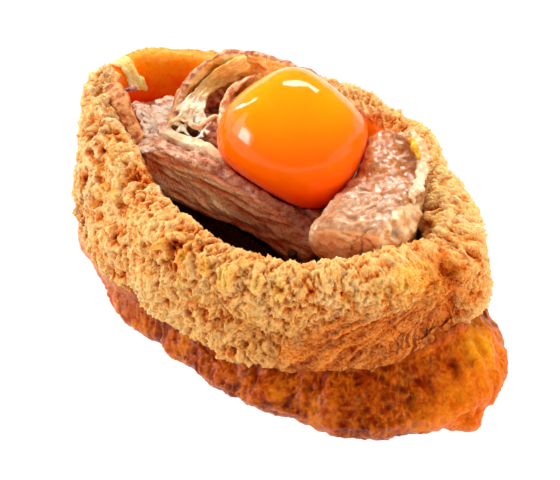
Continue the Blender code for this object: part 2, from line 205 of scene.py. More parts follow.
def grid_faces(rows, columns, wrap=True):
    """Quads over a grid of points. A wrapped grid closes on itself along its columns."""
    index = np.arange(rows * columns).reshape(rows, columns)
    if wrap:
        index = np.hstack([index, index[:, :1]])
    low, high = index[:-1], index[1:]
    return np.stack([low[:, :-1], low[:, 1:], high[:, 1:], high[:, :-1]], axis=-1).reshape(-1, 4).tolist()


def grid_normals(grid):
    """Outward normals of a grid of points that is wrapped along its columns."""
    along = np.roll(grid, -1, axis=1) - np.roll(grid, 1, axis=1)
    upward = np.gradient(grid, axis=0)
    normal = np.cross(along, upward)
    return normal / np.maximum(np.linalg.norm(normal, axis=2, keepdims=True), 1e-9)


def paint(piece, colour, **values):
    """Store a colour and further numbers for each point of a piece."""
    mesh = piece.data
    tint = mesh.color_attributes.new("tint", "FLOAT_COLOR", "POINT")
    rgba = np.ones((len(mesh.vertices), 4), np.float32)
    rgba[:, :3] = np.clip(colour, 0.0, 1.0)
    tint.data.foreach_set("color", rgba.ravel())
    for name, value in values.items():
        attribute = mesh.attributes.new(name, "FLOAT", "POINT")
        attribute.data.foreach_set("value", np.asarray(value, np.float32))


def read_points(mesh):
    points = np.zeros(len(mesh.vertices) * 3, np.float32)
    mesh.vertices.foreach_get("co", points)
    return points.reshape(-1, 3).astype(float) / MM


def read_normals(mesh):
    normals = np.zeros(len(mesh.vertices) * 3, np.float32)
    mesh.vertex_normals.foreach_get("vector", normals)
    return normals.reshape(-1, 3).astype(float)


def write_points(mesh, points):
    mesh.vertices.foreach_set("co", (points * MM).astype(np.float32).ravel())
    mesh.update()


def adopt(piece, slot, *nodes):
    """A piece rides on the only body and stands for its CAD nodes."""
    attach(piece, "root")
    if nodes:
        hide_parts(*nodes)


def fine_copy(node, name, voxel, smoothing=4):
    """A closed, evenly meshed copy of a CAD node, ready to be given relief."""
    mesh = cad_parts[node].data.copy()
    shape = bmesh.new()
    shape.from_mesh(mesh)
    bmesh.ops.remove_doubles(shape, verts=shape.verts, dist=1e-6)
    shape.to_mesh(mesh)
    shape.free()
    rough = bpy.data.objects.new(name + "_rough", mesh)
    bpy.context.scene.collection.objects.link(rough)
    remesh = rough.modifiers.new("remesh", "REMESH")
    remesh.mode = "VOXEL"
    remesh.voxel_size = voxel * MM
    smooth = rough.modifiers.new("smooth", "SMOOTH")
    smooth.iterations = smoothing
    smooth.factor = 0.5
    graph = bpy.context.evaluated_depsgraph_get()
    fine = bpy.data.meshes.new_from_object(rough.evaluated_get(graph))
    bpy.data.objects.remove(rough)
    fine.name = name
    fine.materials.clear()
    fine.shade_smooth()
    piece = bpy.data.objects.new(name, fine)
    bpy.context.scene.collection.objects.link(piece)
    return piece


# ---------------------------------------------------------------- materials

def new_material(name):
    material = bpy.data.materials.new(name)
    material.use_nodes = True
    nodes = material.node_tree.nodes
    return material, nodes, material.node_tree.links, nodes["Principled BSDF"]


def add_node(nodes, kind, **settings):
    node = nodes.new(kind)
    for key, value in settings.items():
        if hasattr(node, key):
            setattr(node, key, value)
        else:
            node.inputs[key].default_value = value
    return node


def food_material(name, grain_mm, bump_mm, dry=0.6, wet=0.2, specular=0.3, subsurface=0.1,
                  radius_mm=(2.0, 0.9, 0.4), mottle=0.3, strand_mm=1.0, strand_share=0.5,
                  stretch=(1.0, 1.0, 1.0), glow=0.0):
    """A moist material: the painted colour, deepened and roughened by fine noise.

    Grains and thin strands of the given sizes make one pattern, which is raised by bump_mm. Its
    low places get a deeper colour. The painted number "wet" moves the roughness from dry to wet.
    A glow stands for light that comes through a thin wall.
    """
    material, nodes, links, shader = new_material(name)
    place = add_node(nodes, "ShaderNodeTexCoord")
    stretched = add_node(nodes, "ShaderNodeMapping")
    stretched.inputs["Scale"].default_value = stretch
    links.new(place.outputs["Object"], stretched.inputs["Vector"])
    tint = add_node(nodes, "ShaderNodeAttribute", attribute_name="tint")
    wetness = add_node(nodes, "ShaderNodeAttribute", attribute_name="wet")

    grain = add_node(nodes, "ShaderNodeTexNoise", Scale=1.0 / (grain_mm * MM), Detail=3.0,
                     Roughness=0.6)
    strand = add_node(nodes, "ShaderNodeTexNoise", Scale=1.0 / (strand_mm * MM), Detail=2.0,
                      Roughness=0.5, Distortion=0.6)
    for texture in (grain, strand):
        links.new(stretched.outputs["Vector"], texture.inputs["Vector"])
    centred = add_node(nodes, "ShaderNodeMath", operation="SUBTRACT")
    centred.inputs[1].default_value = 0.5
    links.new(strand.outputs["Fac"], centred.inputs[0])
    crest = add_node(nodes, "ShaderNodeMath", operation="ABSOLUTE")
    links.new(centred.outputs["Value"], crest.inputs[0])
    lines = add_node(nodes, "ShaderNodeMapRange")
    lines.inputs["From Min"].default_value = 0.0
    lines.inputs["From Max"].default_value = 0.22
    lines.inputs["To Min"].default_value = 1.0
    lines.inputs["To Max"].default_value = 0.0
    links.new(crest.outputs["Value"], lines.inputs["Value"])
    pattern = add_node(nodes, "ShaderNodeMix", data_type="FLOAT")
    pattern.inputs[0].default_value = strand_share
    links.new(grain.outputs["Fac"], pattern.inputs[2])
    links.new(lines.outputs["Result"], pattern.inputs[3])

    deepen = add_node(nodes, "ShaderNodeMapRange")
    deepen.inputs["From Min"].default_value = 0.25
    deepen.inputs["From Max"].default_value = 0.75
    deepen.inputs["To Min"].default_value = 1.0 + mottle
    deepen.inputs["To Max"].default_value = 1.0 - mottle
    links.new(pattern.outputs[0], deepen.inputs["Value"])
    colour = add_node(nodes, "ShaderNodeGamma")
    links.new(tint.outputs["Color"], colour.inputs["Color"])
    links.new(deepen.outputs["Result"], colour.inputs["Gamma"])
    links.new(colour.outputs["Color"], shader.inputs["Base Color"])
    if glow:
        links.new(colour.outputs["Color"], shader.inputs["Emission Color"])
        shader.inputs["Emission Strength"].default_value = glow

    rough = add_node(nodes, "ShaderNodeMapRange")
    rough.inputs["To Min"].default_value = dry
    rough.inputs["To Max"].default_value = wet
    links.new(wetness.outputs["Fac"], rough.inputs["Value"])
    links.new(rough.outputs["Result"], shader.inputs["Roughness"])

    if bump_mm:
        bump = add_node(nodes, "ShaderNodeBump", Distance=bump_mm * MM, Strength=1.0)
        links.new(pattern.outputs[0], bump.inputs["Height"])
        links.new(bump.outputs["Normal"], shader.inputs["Normal"])

    shader.inputs["Subsurface Weight"].default_value = subsurface
    shader.inputs["Subsurface Radius"].default_value = radius_mm
    shader.inputs["Subsurface Scale"].default_value = MM
    shader.inputs["IOR"].default_value = 1.4
    shader.inputs["Specular IOR Level"].default_value = specular
    return material


# -------------------------------------------------------- shape of the pouch

RAYS = 720                  # directions in which the pouch is measured
HEIGHT_STEP = 0.25
ROLL_Z = 27.4               # the rim is a roll above this height


class Pouch:
    """Radii of the pouch round its middle, read from the CAD solid."""

    def __init__(self):
        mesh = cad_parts["tofu_pouch"].data
        tree = BVHTree.FromPolygons(read_points(mesh).tolist(),
                                    [tuple(p.vertices) for p in mesh.polygons])
        self.turns = np.linspace(0.0, 2.0 * math.pi, RAYS, endpoint=False)
        self.heights = np.arange(0.1, ROLL_Z + 0.01, HEIGHT_STEP)
        self.outer = np.zeros((len(self.heights), RAYS))
        self.inner = np.zeros((len(self.heights), RAYS))
        self.top = np.zeros(RAYS)
        for column, turn in enumerate(self.turns):
            out = Vector((math.cos(turn), math.sin(turn), 0.0))
            for row, height in enumerate(self.heights):
                axis = Vector((0.0, 0.0, height))
                hit = tree.ray_cast(axis + out * 90.0, -out)
                self.outer[row, column] = 90.0 - hit[3]
                hit = tree.ray_cast(axis, out)
                self.inner[row, column] = hit[3] if hit[3] else 0.0
            middle = (self.outer[-1, column] + self.inner[-1, column]) / 2
            hit = tree.ray_cast(out * middle + Vector((0.0, 0.0, 90.0)), Vector((0.0, 0.0, -1.0)))
            self.top[column] = 90.0 - hit[3]
        climb = self.outer[2:] - self.outer[:-2]
        steep = climb[12:-30].argmax(axis=0) + 13
        self.hem = self.soften(self.heights[steep], 1.5)
        self.top = self.soften(self.top, 3.0)
        self.outer = self.soften(self.outer, 2.5)
        self.inner = self.soften(self.inner, 3.0)

    @staticmethod
    def soften(values, sigma):
        """Blur round the pouch, by a number of directions."""
        reach = np.arange(-int(3 * sigma + 1), int(3 * sigma + 1) + 1)
        kernel = np.exp(-0.5 * (reach / sigma) ** 2)
        kernel /= kernel.sum()
        return sum(k * np.roll(values, int(r), axis=-1) for k, r in zip(kernel, reach))

    def columns(self, count):
        """Directions that are evenly spaced along the pouch's side."""
        radius = np.append(self.outer[self.outer.shape[0] * 3 // 4], 0.0)
        radius[-1] = radius[0]
        turns = np.append(self.turns, 2.0 * math.pi)
        path = np.column_stack([radius * np.cos(turns), radius * np.sin(turns)])
        length = np.append(0.0, np.cumsum(np.linalg.norm(np.diff(path, axis=0), axis=1)))
        return np.interp(np.linspace(0.0, length[-1], count, endpoint=False), length, turns)

    def at(self, values, turns):
        """Values that are known round the pouch, read at any directions."""
        place = turns / (2.0 * math.pi) * RAYS
        low = np.floor(place).astype(int)
        share = place - low
        return values[..., low % RAYS] * (1 - share) + values[..., (low + 1) % RAYS] * share

    def radius(self, table, turns, height):
        """Radii at a height for each direction."""
        row = np.clip((height - self.heights[0]) / HEIGHT_STEP, 0, len(self.heights) - 1.001)
        low = row.astype(int)
        rows = self.at(table, turns)
        each = np.arange(len(turns))
        return rows[low, each] * (1 - (row - low)) + rows[low + 1, each] * (row - low)


def ring_points(turns, radius, height):
    return np.column_stack([radius * np.cos(turns), radius * np.sin(turns),
                            np.zeros(len(turns)) + height])


# --------------------------------------------------------------- the cuff

CUFF_COLUMNS = 1120
CUFF_OUTER_ROWS = 62
CUFF_CREST_ROWS = 36
CUFF_INNER_ROWS = 30
CUFF_SPLIT = 6 + CUFF_OUTER_ROWS + CUFF_CREST_ROWS // 2     # the cuff's mesh ends at this row
LINING_FOOT = 8.0           # the lining ends at this height, inside the rice


# Where the cuff's edge hangs higher than in the solid, in mm, and how far it stands off the
# skin below it, 0 to 1, for directions in degrees.
HEM_TURNS = (-180, -160, -145, -130, -110, -85, -60, -40, -33, -27, -18, -10, 5, 30, 90, 140)
HEM_LIFTS = (1.5, 2.2, 2.8, 2.0, 1.0, 0.6, 0.2, -0.4, -0.8, -1.4, 0.4, 2.2, 0.8, 0.5, 0.5, 1.0)
HEM_STANDS = (0.2, 0.1, 0.0, 0.1, 0.3, 0.6, 0.9, 0.9, 0.8, 0.7, 0.5, 0.3, 0.3, 0.7, 0.7, 0.4)


def ragged_hem(pouch, turns):
    """Height of the cuff's torn edge, and how proud it stands there."""
    degrees = np.degrees(turns)
    lift = np.interp(degrees, HEM_TURNS, HEM_LIFTS, period=360)
    proud = np.interp(degrees, HEM_TURNS, HEM_STANDS, period=360)
    round_points = ring_points(turns, 30.0, 0.0)
    ragged = 0.8 * layered(round_points, 6.0, 3, 9) * (1.0 - 0.5 * proud)
    return pouch.at(pouch.hem, turns) + lift + ragged, proud


def skin_radius(pouch, turns, height):
    """The skin's radius. Near and behind the hem it follows the solid's cuff, further in."""
    hem = pouch.at(pouch.hem, turns)
    tuck = pouch.radius(pouch.outer, turns, hem - 0.7)
    over = pouch.radius(pouch.outer, turns, hem + 1.5)
    proud = np.interp(np.degrees(turns), HEM_TURNS, HEM_STANDS, period=360)
    below = pouch.radius(pouch.outer, turns, np.minimum(height, hem - 0.7))
    flush = pouch.radius(pouch.outer, turns, np.maximum(height, hem + 1.5)) - 0.4
    follow = tuck + (flush - tuck) * (1.0 - proud)
    share = smooth_step(height - hem, -5.0 + 3.0 * proud, 0.8)
    return below + (follow - tuck) * share * (over > tuck)


def cuff_shape(pouch):
    """The folded cuff as a grid of points, and a number for each: 0 at the hem, 1 where the
    rim begins to roll, 2 where it ends, 3 at the foot of the lining."""
    turns = pouch.columns(CUFF_COLUMNS)
    top = pouch.at(pouch.top, turns)
    edge, proud = ragged_hem(pouch, turns)
    skin = skin_radius(pouch, turns, edge)
    lip = np.maximum(pouch.radius(pouch.outer, turns, edge + 1.2) - (1.0 - proud) * 1.6, skin + 0.35)
    rows = []
    zones = []
    for share, lift in ((-0.8, 1.6), (-0.3, 0.7), (0.3, 0.15), (0.7, -0.05), (0.92, 0.15), (1.0, 0.5)):
        rows.append(ring_points(turns, skin + (lip - skin) * share, edge + lift))
        zones.append(np.full(CUFF_COLUMNS, 0.02 * (share - 1.0)))
    low = edge + 0.9
    for share in np.linspace(0.0, 1.0, CUFF_OUTER_ROWS, endpoint=False):
        height = low + (ROLL_Z - low) * share
        radius = pouch.radius(pouch.outer, turns, height)
        ease = np.exp(-((height - low) / 3.6) ** 2)
        radius = np.minimum(radius, radius + (lip - radius) * ease)
        rows.append(ring_points(turns, radius, height))
        zones.append(np.full(CUFF_COLUMNS, share))
    outside = pouch.radius(pouch.outer, turns, np.full(CUFF_COLUMNS, ROLL_Z))
    inside = pouch.radius(pouch.inner, turns, np.full(CUFF_COLUMNS, ROLL_Z))
    for share in np.linspace(0.0, 1.0, CUFF_CREST_ROWS, endpoint=False):
        angle = math.pi * share
        radius = (outside + inside) / 2 + (outside - inside) / 2 * math.cos(angle)
        rows.append(ring_points(turns, radius, ROLL_Z + (top - ROLL_Z) * math.sin(angle)))
        zones.append(np.full(CUFF_COLUMNS, 1.0 + share))
    for share in np.linspace(0.0, 1.0, CUFF_INNER_ROWS):
        height = np.full(CUFF_COLUMNS, ROLL_Z + (LINING_FOOT - ROLL_Z) * share)
        rows.append(ring_points(turns, pouch.radius(pouch.inner, turns, height), height))
        zones.append(np.full(CUFF_COLUMNS, 2.0 + share))
    return np.array(rows), np.array(zones), turns


def sponge_relief(points, seed=0):
    """Curly relief of torn fried tofu: height in mm, and how crumbly a point looks, 0 to 1."""
    curled = warped(points, 3.0, 1.6, seed + 40)
    net = ridges(curled, 2.5, seed + 1)
    thin = strands(points, 1.05, 3.8, seed + 2)
    fine = ridges(warped(points, 1.3, 0.8, seed + 50), 0.9, seed + 5)
    pit = smooth_step(-noise(warped(points, 2.4, 1.2, seed + 60), 3.0, seed + 3), 0.35, 0.75)
    lumps = layered(points, (9.0, 9.0, 6.5), 2, seed + 4)
    height = (0.70 * lumps + 0.90 * (net - 0.45) + 1.15 * (thin - 0.45) + 0.46 * (fine - 0.5)
              - 0.60 * pit)
    crumb = np.clip(0.38 * net + 0.52 * thin + 0.30 * fine - 0.30 * pit, 0.0, 1.0)
    return height, crumb


# Where the cuff and the skin stand a little further out (or in) than the solid: directions
# in degrees and distances in mm.
CUFF_SHIFT = ((-180, -168, -152, -140, -60, -10, 5, 25, 45, 70, 90, 130, 160),
              (-1.0, -0.5, 0.6, 0.1, 0.0, 0.0, -1.0, -1.4, -1.0, -0.9, -0.7, -0.5, -0.9))
SKIN_SHIFT_LOW = ((-110, -80, -58, -38, -20, -8, -2, 8), (0.0, -0.7, -0.7, 0.1, 0.4, 0.6, 0.6, 0.0))
SKIN_SHIFT_HIGH = ((-8, 0, 6, 14, 25, 45), (0.0, -1.0, -1.8, -2.0, -1.4, 0.0))
LINING_SHIFT = ((-30, -14, 5, 22, 45, 70), (0.0, -3.6, -4.0, -3.0, -1.4, 0.0))

# Golden flakes that stand up on the cuff: middle, size and height in mm.
FLAKES = (
    ((-2.7, -27.8, 28.0), 1.1, 1.7), ((-1.2, -28.6, 26.6), 1.0, 1.1),
    ((-18.7, -22.2, 26.0), 1.8, 1.0), ((-21.6, -21.2, 25.0), 1.4, 0.9),
    ((2.4, -28.4, 28.6), 1.6, 0.9), ((6.6, -28.0, 28.8), 1.5, 1.0), ((10.8, -27.6, 28.6), 1.7, 1.0),
    ((15.6, -26.4, 29.0), 1.5, 1.0), ((19.4, -25.0, 28.8), 1.6, 0.9), ((33.6, -11.4, 29.6), 1.8, 1.1),
)


CREASE = (37.0, -4.6, 28.5)     # where the cuff's two sides meet
FOLD = ((36.4, -4.2, 30.2), (38.8, -4.4, 27.2), (38.4, -3.6, 23.0), (37.8, -4.0, 19.6),
        (38.0, -5.4, 16.6))     # the deep fold that runs down from there
SHEET_TURNS = (-60, -52, -44, -36, -28, -20, -12, -6)     # the fibrous sheet ends at these heights
SHEET_TOPS = (14.0, 19.0, 24.0, 27.5, 28.5, 29.2, 30.4, 31.0)


def build_cuff(pouch):
    grid, zones, turns = cuff_shape(pouch)
    normals = grid_normals(grid)
    points = grid.reshape(-1, 3)
    outward = normals.reshape(-1, 3)
    zone = zones.reshape(-1)
    turn = np.tile(np.degrees(turns), len(grid))
    turn = (turn + 180.0) % 360.0 - 180.0
    x, y, z = points.T

    height, crumb = sponge_relief(points)

    # Upright folds and gashes at the left end
    left = smooth_step(-x, 6.0, 26.0) * (zone < 1.3)
    flow = points + 5.0 * np.outer(np.sin(z * 0.16 + x * 0.05), (0.6, -0.8, 0.0))
    folds = ridges(flow * (1.0, 1.0, 0.26), 2.6, 60)
    gash = smooth_step(ridges(flow * (1.0, 1.0, 0.20), 5.6, 61), 0.90, 1.0)
    height = height * (1.0 - 0.45 * left) + left * (1.0 * (folds - 0.5) - 1.1 * gash)
    crumb = crumb * (1.0 - 0.50 * left) + left * (0.56 * folds - 0.45 * gash)
    flakes = np.zeros(len(points))
    for middle, size, rise in FLAKES:
        spot = around(warped(points, 1.6, 0.7, 58), middle, (size, size, size))
        flakes = np.maximum(flakes, smooth_step(spot, 0.2, 0.7) * rise)
    height += flakes
    fold = near_line(warped(points, 3.0, 0.8, 59), FOLD, 1.0)
    lips = near_line(warped(points, 3.0, 0.8, 59), FOLD, 2.8) - fold
    hole = around(points, CREASE, (1.5, 1.5, 1.3)) * (zone < 1.5)
    height += 0.9 * lips - 1.7 * fold - 1.6 * hole

    # The smooth fibrous sheet that runs from the crease to the near side
    sheet_top = np.interp(turn, SHEET_TURNS, SHEET_TOPS) + 1.1 * layered(points, 3.0, 2, 57)
    sheet = (smooth_step(turn, -60.0, -46.0) * smooth_step(-turn, -1.0, 5.0)
             * smooth_step(sheet_top - z, -0.4, 6.0) * (zone < 1.1))
    reach = np.hypot(x - CREASE[0], y - CREASE[1])
    slope = np.arctan2(CREASE[2] + 2.0 - z, reach + 1.0)
    fibres = np.column_stack([slope * 24.0, reach * 0.22, np.zeros(len(points))])
    fibre = layered(warped(fibres, 2.0, 0.5, 67), 1.2, 3, 62)
    tangle = ridges(warped(points, 3.0, 1.5, 68), 1.6, 69)
    height = height * (1.0 - 0.80 * sheet) + sheet * (0.45 * fibre + 0.12 * tangle - 0.2)

    # Brown mesh, flatter, low on the near side
    mesh_patch = around(points, (20.0, -25.0, 16.5), (12.0, 7.0, 5.0)) * (zone < 1.0)
    height *= 1.0 - 0.35 * mesh_patch

    # The lining is smooth and wet, except at the right end
    thin_rim = smooth_step(turn * np.sign(y + 0.01), 100.0, 128.0) * (y > -2.0)
    smooth_wall = (smooth_step(zone, 1.62 - 0.45 * thin_rim, 1.95 - 0.50 * thin_rim)
                   * smooth_step(8.0 - x, -14.0, 0.0))
    height = height * (1.0 - 0.9 * smooth_wall)
    height += smooth_wall * 0.25 * layered(points, 6.0, 2, 63)
    thin_edge = thin_rim * smooth_step(zone, 0.85, 1.2) * (1.0 - smooth_wall)
    height = np.where(zone < 0.0, height * 0.4, height * (1.0 - 0.7 * thin_edge))

    drift = np.stack([noise(points, 1.3, 70 + k) for k in range(3)], axis=1)
    moved = points + outward * height[:, None]
    moved += 0.34 * drift * (1.0 - 0.7 * smooth_wall - 0.2 * sheet)[:, None]
    shift = (np.interp(turn, *CUFF_SHIFT, period=360) * smooth_step(1.7 - zone, 0.0, 0.6)
             + np.interp(turn, *LINING_SHIFT) * smooth_step(zone, 1.2, 1.9)
             * smooth_step(z, 10.0, 20.0))
    moved[:, :2] += shift[:, None] * points[:, :2] / np.hypot(x, y)[:, None]

    # Colours
    crest = srgb(255, 200, 120)
    tan = srgb(232, 134, 46)
    brown = srgb(208, 94, 18)
    deep = srgb(172, 54, 2)
    level = smooth_step(0.85 * crumb + 0.15 * smooth_step(height, -1.2, 1.2), 0.26, 0.94)
    colour = mix(deep, brown, level / 0.25)
    colour = mix(colour, tan, (level - 0.2) / 0.35)
    colour = mix(colour, crest, (level - 0.55) / 0.45)
    # Painted shade: the colour is deepened and saturated in the pits, where shade falls.
    pit_shade = smooth_step(0.50 - crumb, 0.0, 0.35)
    colour = colour ** (1.0 + 0.60 * pit_shade)[:, None]
    hue = layered(points, 5.0, 3, 65)
    colour = colour ** (1.0 - 0.22 * np.clip(hue, -1.0, 1.0))[:, None]
    front = around(points, (22.0, -24.0, 22.0), (30.0, 16.0, 14.0))
    right_end = around(points, (39.0, -3.0, 22.0), (7.0, 9.0, 9.0))
    left_end = smooth_step(-x, 10.0, 30.0)
    lower = around(points, (14.0, -26.0, 19.0), (26.0, 12.0, 6.5)) * (zone < 1.0)
    colour = colour * (1.0 - np.outer(front, (0.02, 0.18, 0.38)))
    colour = colour * (1.0 - np.outer(lower, (0.08, 0.16, 0.26)))
    colour = colour * (1.0 - np.outer(right_end, (0.12, 0.40, 0.66)))
    colour = colour * (1.0 - np.outer(left_end, (0.14, 0.14, 0.06)))
    gold = smooth_step(noise(points, 2.2, 66), 0.50, 0.8) * (1.0 - sheet)
    colour = mix(colour, srgb(246, 158, 40), 0.7 * gold)
    colour = mix(colour, srgb(252, 182, 62), 0.6 * smooth_step(flakes, 0.3, 1.2))
    golden_end = around(points, (34.5, -8.5, 29.0), (6.0, 6.0, 4.0)) * (zone < 1.5)
    colour = mix(colour, mix(srgb(230, 108, 14), srgb(252, 170, 60), crumb), 0.85 * golden_end)
    colour = mix(colour, srgb(252, 124, 16), 0.8 * around(points, CREASE, (3.0, 3.0, 3.0)))
    # Painted shade: the hole at the crease is painted dark.
    colour = mix(colour, srgb(150, 34, 0), 0.9 * hole)
    olive = mix(srgb(150, 72, 16), srgb(224, 144, 62), smooth_step(crumb, 0.2, 0.8))
    colour = mix(colour, olive, 0.8 * mesh_patch)
    strand = smooth_step(fibre + 0.6 * tangle, -0.4, 1.2)
    fibre_colour = mix(srgb(146, 38, 0), srgb(232, 116, 30), strand)
    colour = mix(colour, fibre_colour, 0.9 * sheet)
    cloud = layered(points, 4.0, 3, 64)
    # Painted shade: the deep fold below the crease is painted darker.
    colour = mix(colour, srgb(186, 60, 4), 0.8 * fold)
    # The lining wall: redder lower down, a painted highlight along its top edge, and painted shade over the inside
    # of the near side.
    wall = mix(srgb(255, 50, 0), srgb(255, 124, 0), smooth_step(z + 2.0 * cloud, 21.0, 29.0))
    wall = mix(wall, srgb(255, 180, 70), 0.5 * smooth_step(z + 0.6 * cloud, 29.8, 30.8))
    wall = mix(wall, srgb(96, 30, 8), smooth_step(-y, 4.0, 12.0) * 0.9)
    colour = mix(colour, srgb(226, 150, 92), 0.75 * thin_edge)
    inside = smooth_step(zone, 1.7, 2.1) * smooth_step(x, 6.0, 14.0)
    colour = mix(colour, mix(srgb(176, 72, 14), srgb(226, 132, 52), crumb), 0.75 * inside)
    colour = mix(colour, wall, smooth_wall)

    wet = np.clip(0.15 + 0.75 * smooth_wall + 0.55 * sheet, 0.0, 1.0)
    sponge = food_material("tofu_sponge", 0.35, 0.30, dry=0.55, wet=0.25, specular=0.06,
                           subsurface=0.22, mottle=0.30, radius_mm=(1.1, 0.6, 0.3), strand_mm=0.8,
                           strand_share=0.6)
    # The lining's material glows with its own colour: painted light standing in for light that comes through the
    # thin wall.
    smooth = food_material("tofu_lining_glow", 0.7, 0.10, dry=0.6, wet=0.25, specular=0.18,
                           subsurface=0.4, mottle=0.12, radius_mm=(4.0, 1.6, 0.3), glow=0.16)
    for name, first, last, finish in (("tofu_cuff", 0, CUFF_SPLIT, sponge),
                                      ("tofu_lining", CUFF_SPLIT, len(grid) - 1, smooth)):
        part = slice(first * CUFF_COLUMNS, (last + 1) * CUFF_COLUMNS)
        piece = make_object(name, moved[part], grid_faces(last + 1 - first, CUFF_COLUMNS))
        paint(piece, colour[part], wet=wet[part])
        piece.data.materials.append(finish)
        if finish is smooth:
            corners = np.array([face.vertices[0] for face in piece.data.polygons])
            piece.data.materials.append(sponge)
            piece.data.polygons.foreach_set(
                "material_index", (smooth_wall[part][corners] < 0.5).astype(np.int32))
        adopt(piece, "fried_tofu", "tofu_pouch")


# --------------------------------------------------------------- the skin

SKIN_COLUMNS = 720
SKIN_BASE_ROWS = 12
SKIN_WALL_ROWS = 72
SKIN_PLEATS = (                 # upright pleats at the right end: points in mm, depth and width
    (((38.0, -7.2, 17.0), (38.9, -6.2, 14.0), (40.6, -6.0, 11.5), (42.6, -6.6, 8.5), (43.6, -8.0, 5.0)), 2.2, 1.2),
    (((39.6, -2.4, 14.5), (41.6, -3.4, 11.5), (43.8, -4.6, 8.0), (45.0, -5.6, 4.5)), 1.3, 0.9),
    (((41.0, 1.0, 13.5), (43.6, -0.6, 10.0), (45.4, -1.6, 6.5), (46.0, -2.6, 3.0)), 1.2, 0.9),
    (((36.0, -11.6, 16.0), (38.0, -11.2, 12.0), (40.6, -11.0, 7.5)), 1.1, 1.0),
    (((30.4, -17.6, 14.5), (32.4, -17.6, 10.5), (34.6, -17.4, 6.0)), 0.9, 1.0),
    (((24.6, -22.0, 14.0), (26.4, -22.2, 9.0)), 0.7, 1.0),
    (((16.0, -25.6, 14.0), (16.6, -26.6, 8.0)), 0.7, 1.0),
)


def build_skin(pouch):
    turns = pouch.columns(SKIN_COLUMNS)
    edge, _ = ragged_hem(pouch, turns)
    foot = pouch.radius(pouch.outer, turns, np.full(SKIN_COLUMNS, 0.1))
    rows = [ring_points(turns, foot * share, 0.0)
            for share in np.linspace(0.0, 1.0, SKIN_BASE_ROWS, endpoint=False)]
    for share in np.linspace(0.0, 1.0, SKIN_WALL_ROWS):
        height = 0.05 + (edge + 1.2) * share
        radius = skin_radius(pouch, turns, height)
        rows.append(ring_points(turns, radius - 0.8 * smooth_step(height - edge, 0.0, 1.2), height))
    grid = np.array(rows)
    points = grid.reshape(-1, 3)
    outward = grid_normals(grid).reshape(-1, 3)
    x, y, z = points.T
    turn = np.tile((np.degrees(turns) + 180.0) % 360.0 - 180.0, len(grid))
    hang = np.tile(edge, len(grid))
    free = smooth_step(z, 0.2, 2.0)

    upright = points * (1.0, 1.0, 0.30)
    folds = layered(warped(upright, 5.0, 1.6, 80), 5.5, 2, 81)
    pleats = ridges(warped(upright, 3.0, 1.0, 84), 3.4, 85)
    crepe = ridges(warped(points * (1.0, 1.0, 0.25), 1.6, 0.7, 82), 1.4, 83)
    pebbles = layered(points, 1.1, 2, 86)
    height = 0.42 * folds + 0.40 * (pleats - 0.4) + 0.34 * (crepe - 0.5) + 0.12 * pebbles
    creased = np.zeros(len(points))
    for line, depth, width in SKIN_PLEATS:
        near = near_line(warped(points, 3.0, 0.6, 89), line, width)
        beside = near_line(warped(points, 3.0, 0.6, 89), line, 2.6 * width)
        creased = np.maximum(creased, near)
        height += depth * (0.45 * beside - 0.85 * near)
    moved = points + outward * (height * free)[:, None]
    shift = (smooth_step(7.5 - z, 0.0, 4.0) * np.interp(turn, *SKIN_SHIFT_LOW)
             + smooth_step(z, 5.5, 9.5) * np.interp(turn, *SKIN_SHIFT_HIGH, left=0.0, right=0.0))
    shift += 1.6 * np.exp(-((turn + 6.5) / 2.2) ** 2) * smooth_step(3.6 - z, 0.0, 3.0)
    moved[:, :2] += shift[:, None] * points[:, :2] / np.maximum(np.hypot(x, y), 1.0)[:, None]
    moved[:, 2] = np.maximum(moved[:, 2], 0.0)

    colour = mix(srgb(98, 22, 0), srgb(180, 70, 2), smooth_step(height + 0.35 * pebbles, -0.6, 0.7))
    patches = layered(points * (1.0, 1.0, 0.7), 5.0, 3, 87)
    colour = mix(colour, srgb(230, 122, 12), 0.55 * smooth_step(patches, 0.30, 0.9))
    colour = mix(colour, srgb(132, 34, 0), 0.60 * smooth_step(-patches, 0.15, 0.9))
    colour = mix(colour, srgb(222, 108, 12), 0.34 * smooth_step(crepe + 0.2 * pebbles, 0.62, 0.95))
    film = smooth_step(layered(points * (1.0, 1.0, 0.5), 2.4, 3, 88), 0.25, 0.9)
    colour = mix(colour, srgb(222, 126, 50), 0.2 * film)
    bright_end = smooth_step(x, 38.0, 43.0)
    colour = mix(colour, srgb(244, 116, 8), 0.6 * bright_end)
    colour = mix(colour, srgb(255, 168, 20), 0.8 * around(points, (42.0, 0.4, 12.0), (3.4, 3.4, 2.6)))
    # Painted shade: the pleats' creases are painted darker.
    colour = mix(colour, srgb(176, 40, 0), 0.45 * creased)
    left = smooth_step(np.abs(turn), 105.0, 145.0) * smooth_step(8.0 - y, 0.0, 12.0)
    colour = mix(colour, mix(srgb(214, 104, 50), srgb(240, 160, 104), smooth_step(z, 3.0, 12.0)),
                 0.75 * left)
    # Painted shadow: a dark band just under the cuff's hem, except at the left end.
    shade = smooth_step(z, hang - 1.2, hang + 0.3)
    colour = mix(colour, srgb(126, 38, 4), 0.6 * shade * (1.0 - left))

    piece = make_object("tofu_skin", moved, grid_faces(*grid.shape[:2]))
    paint(piece, colour, wet=0.6 + 0.4 * film)
    weld_centre(piece)
    piece.data.materials.append(food_material("tofu_skin_finish", 0.6, 0.20, dry=0.38, wet=0.14,
                                              specular=0.15, subsurface=0.20, mottle=0.26,
                                              radius_mm=(1.8, 0.7, 0.2), strand_mm=1.6,
                                              strand_share=0.3))
    adopt(piece, "fried_tofu", "tofu_pouch")


def weld_centre(piece):
    """Merge the points that share one place, such as a grid's first row."""
    shape = bmesh.new()
    shape.from_mesh(piece.data)
    bmesh.ops.remove_doubles(shape, verts=shape.verts, dist=1e-8)
    shape.to_mesh(piece.data)
    shape.free()


# --------------------------------------------------------------- the yolk

YOLK_CENTRE = (-0.7, 2.0, 33.0)
YOLK_FLATTER = 0.965


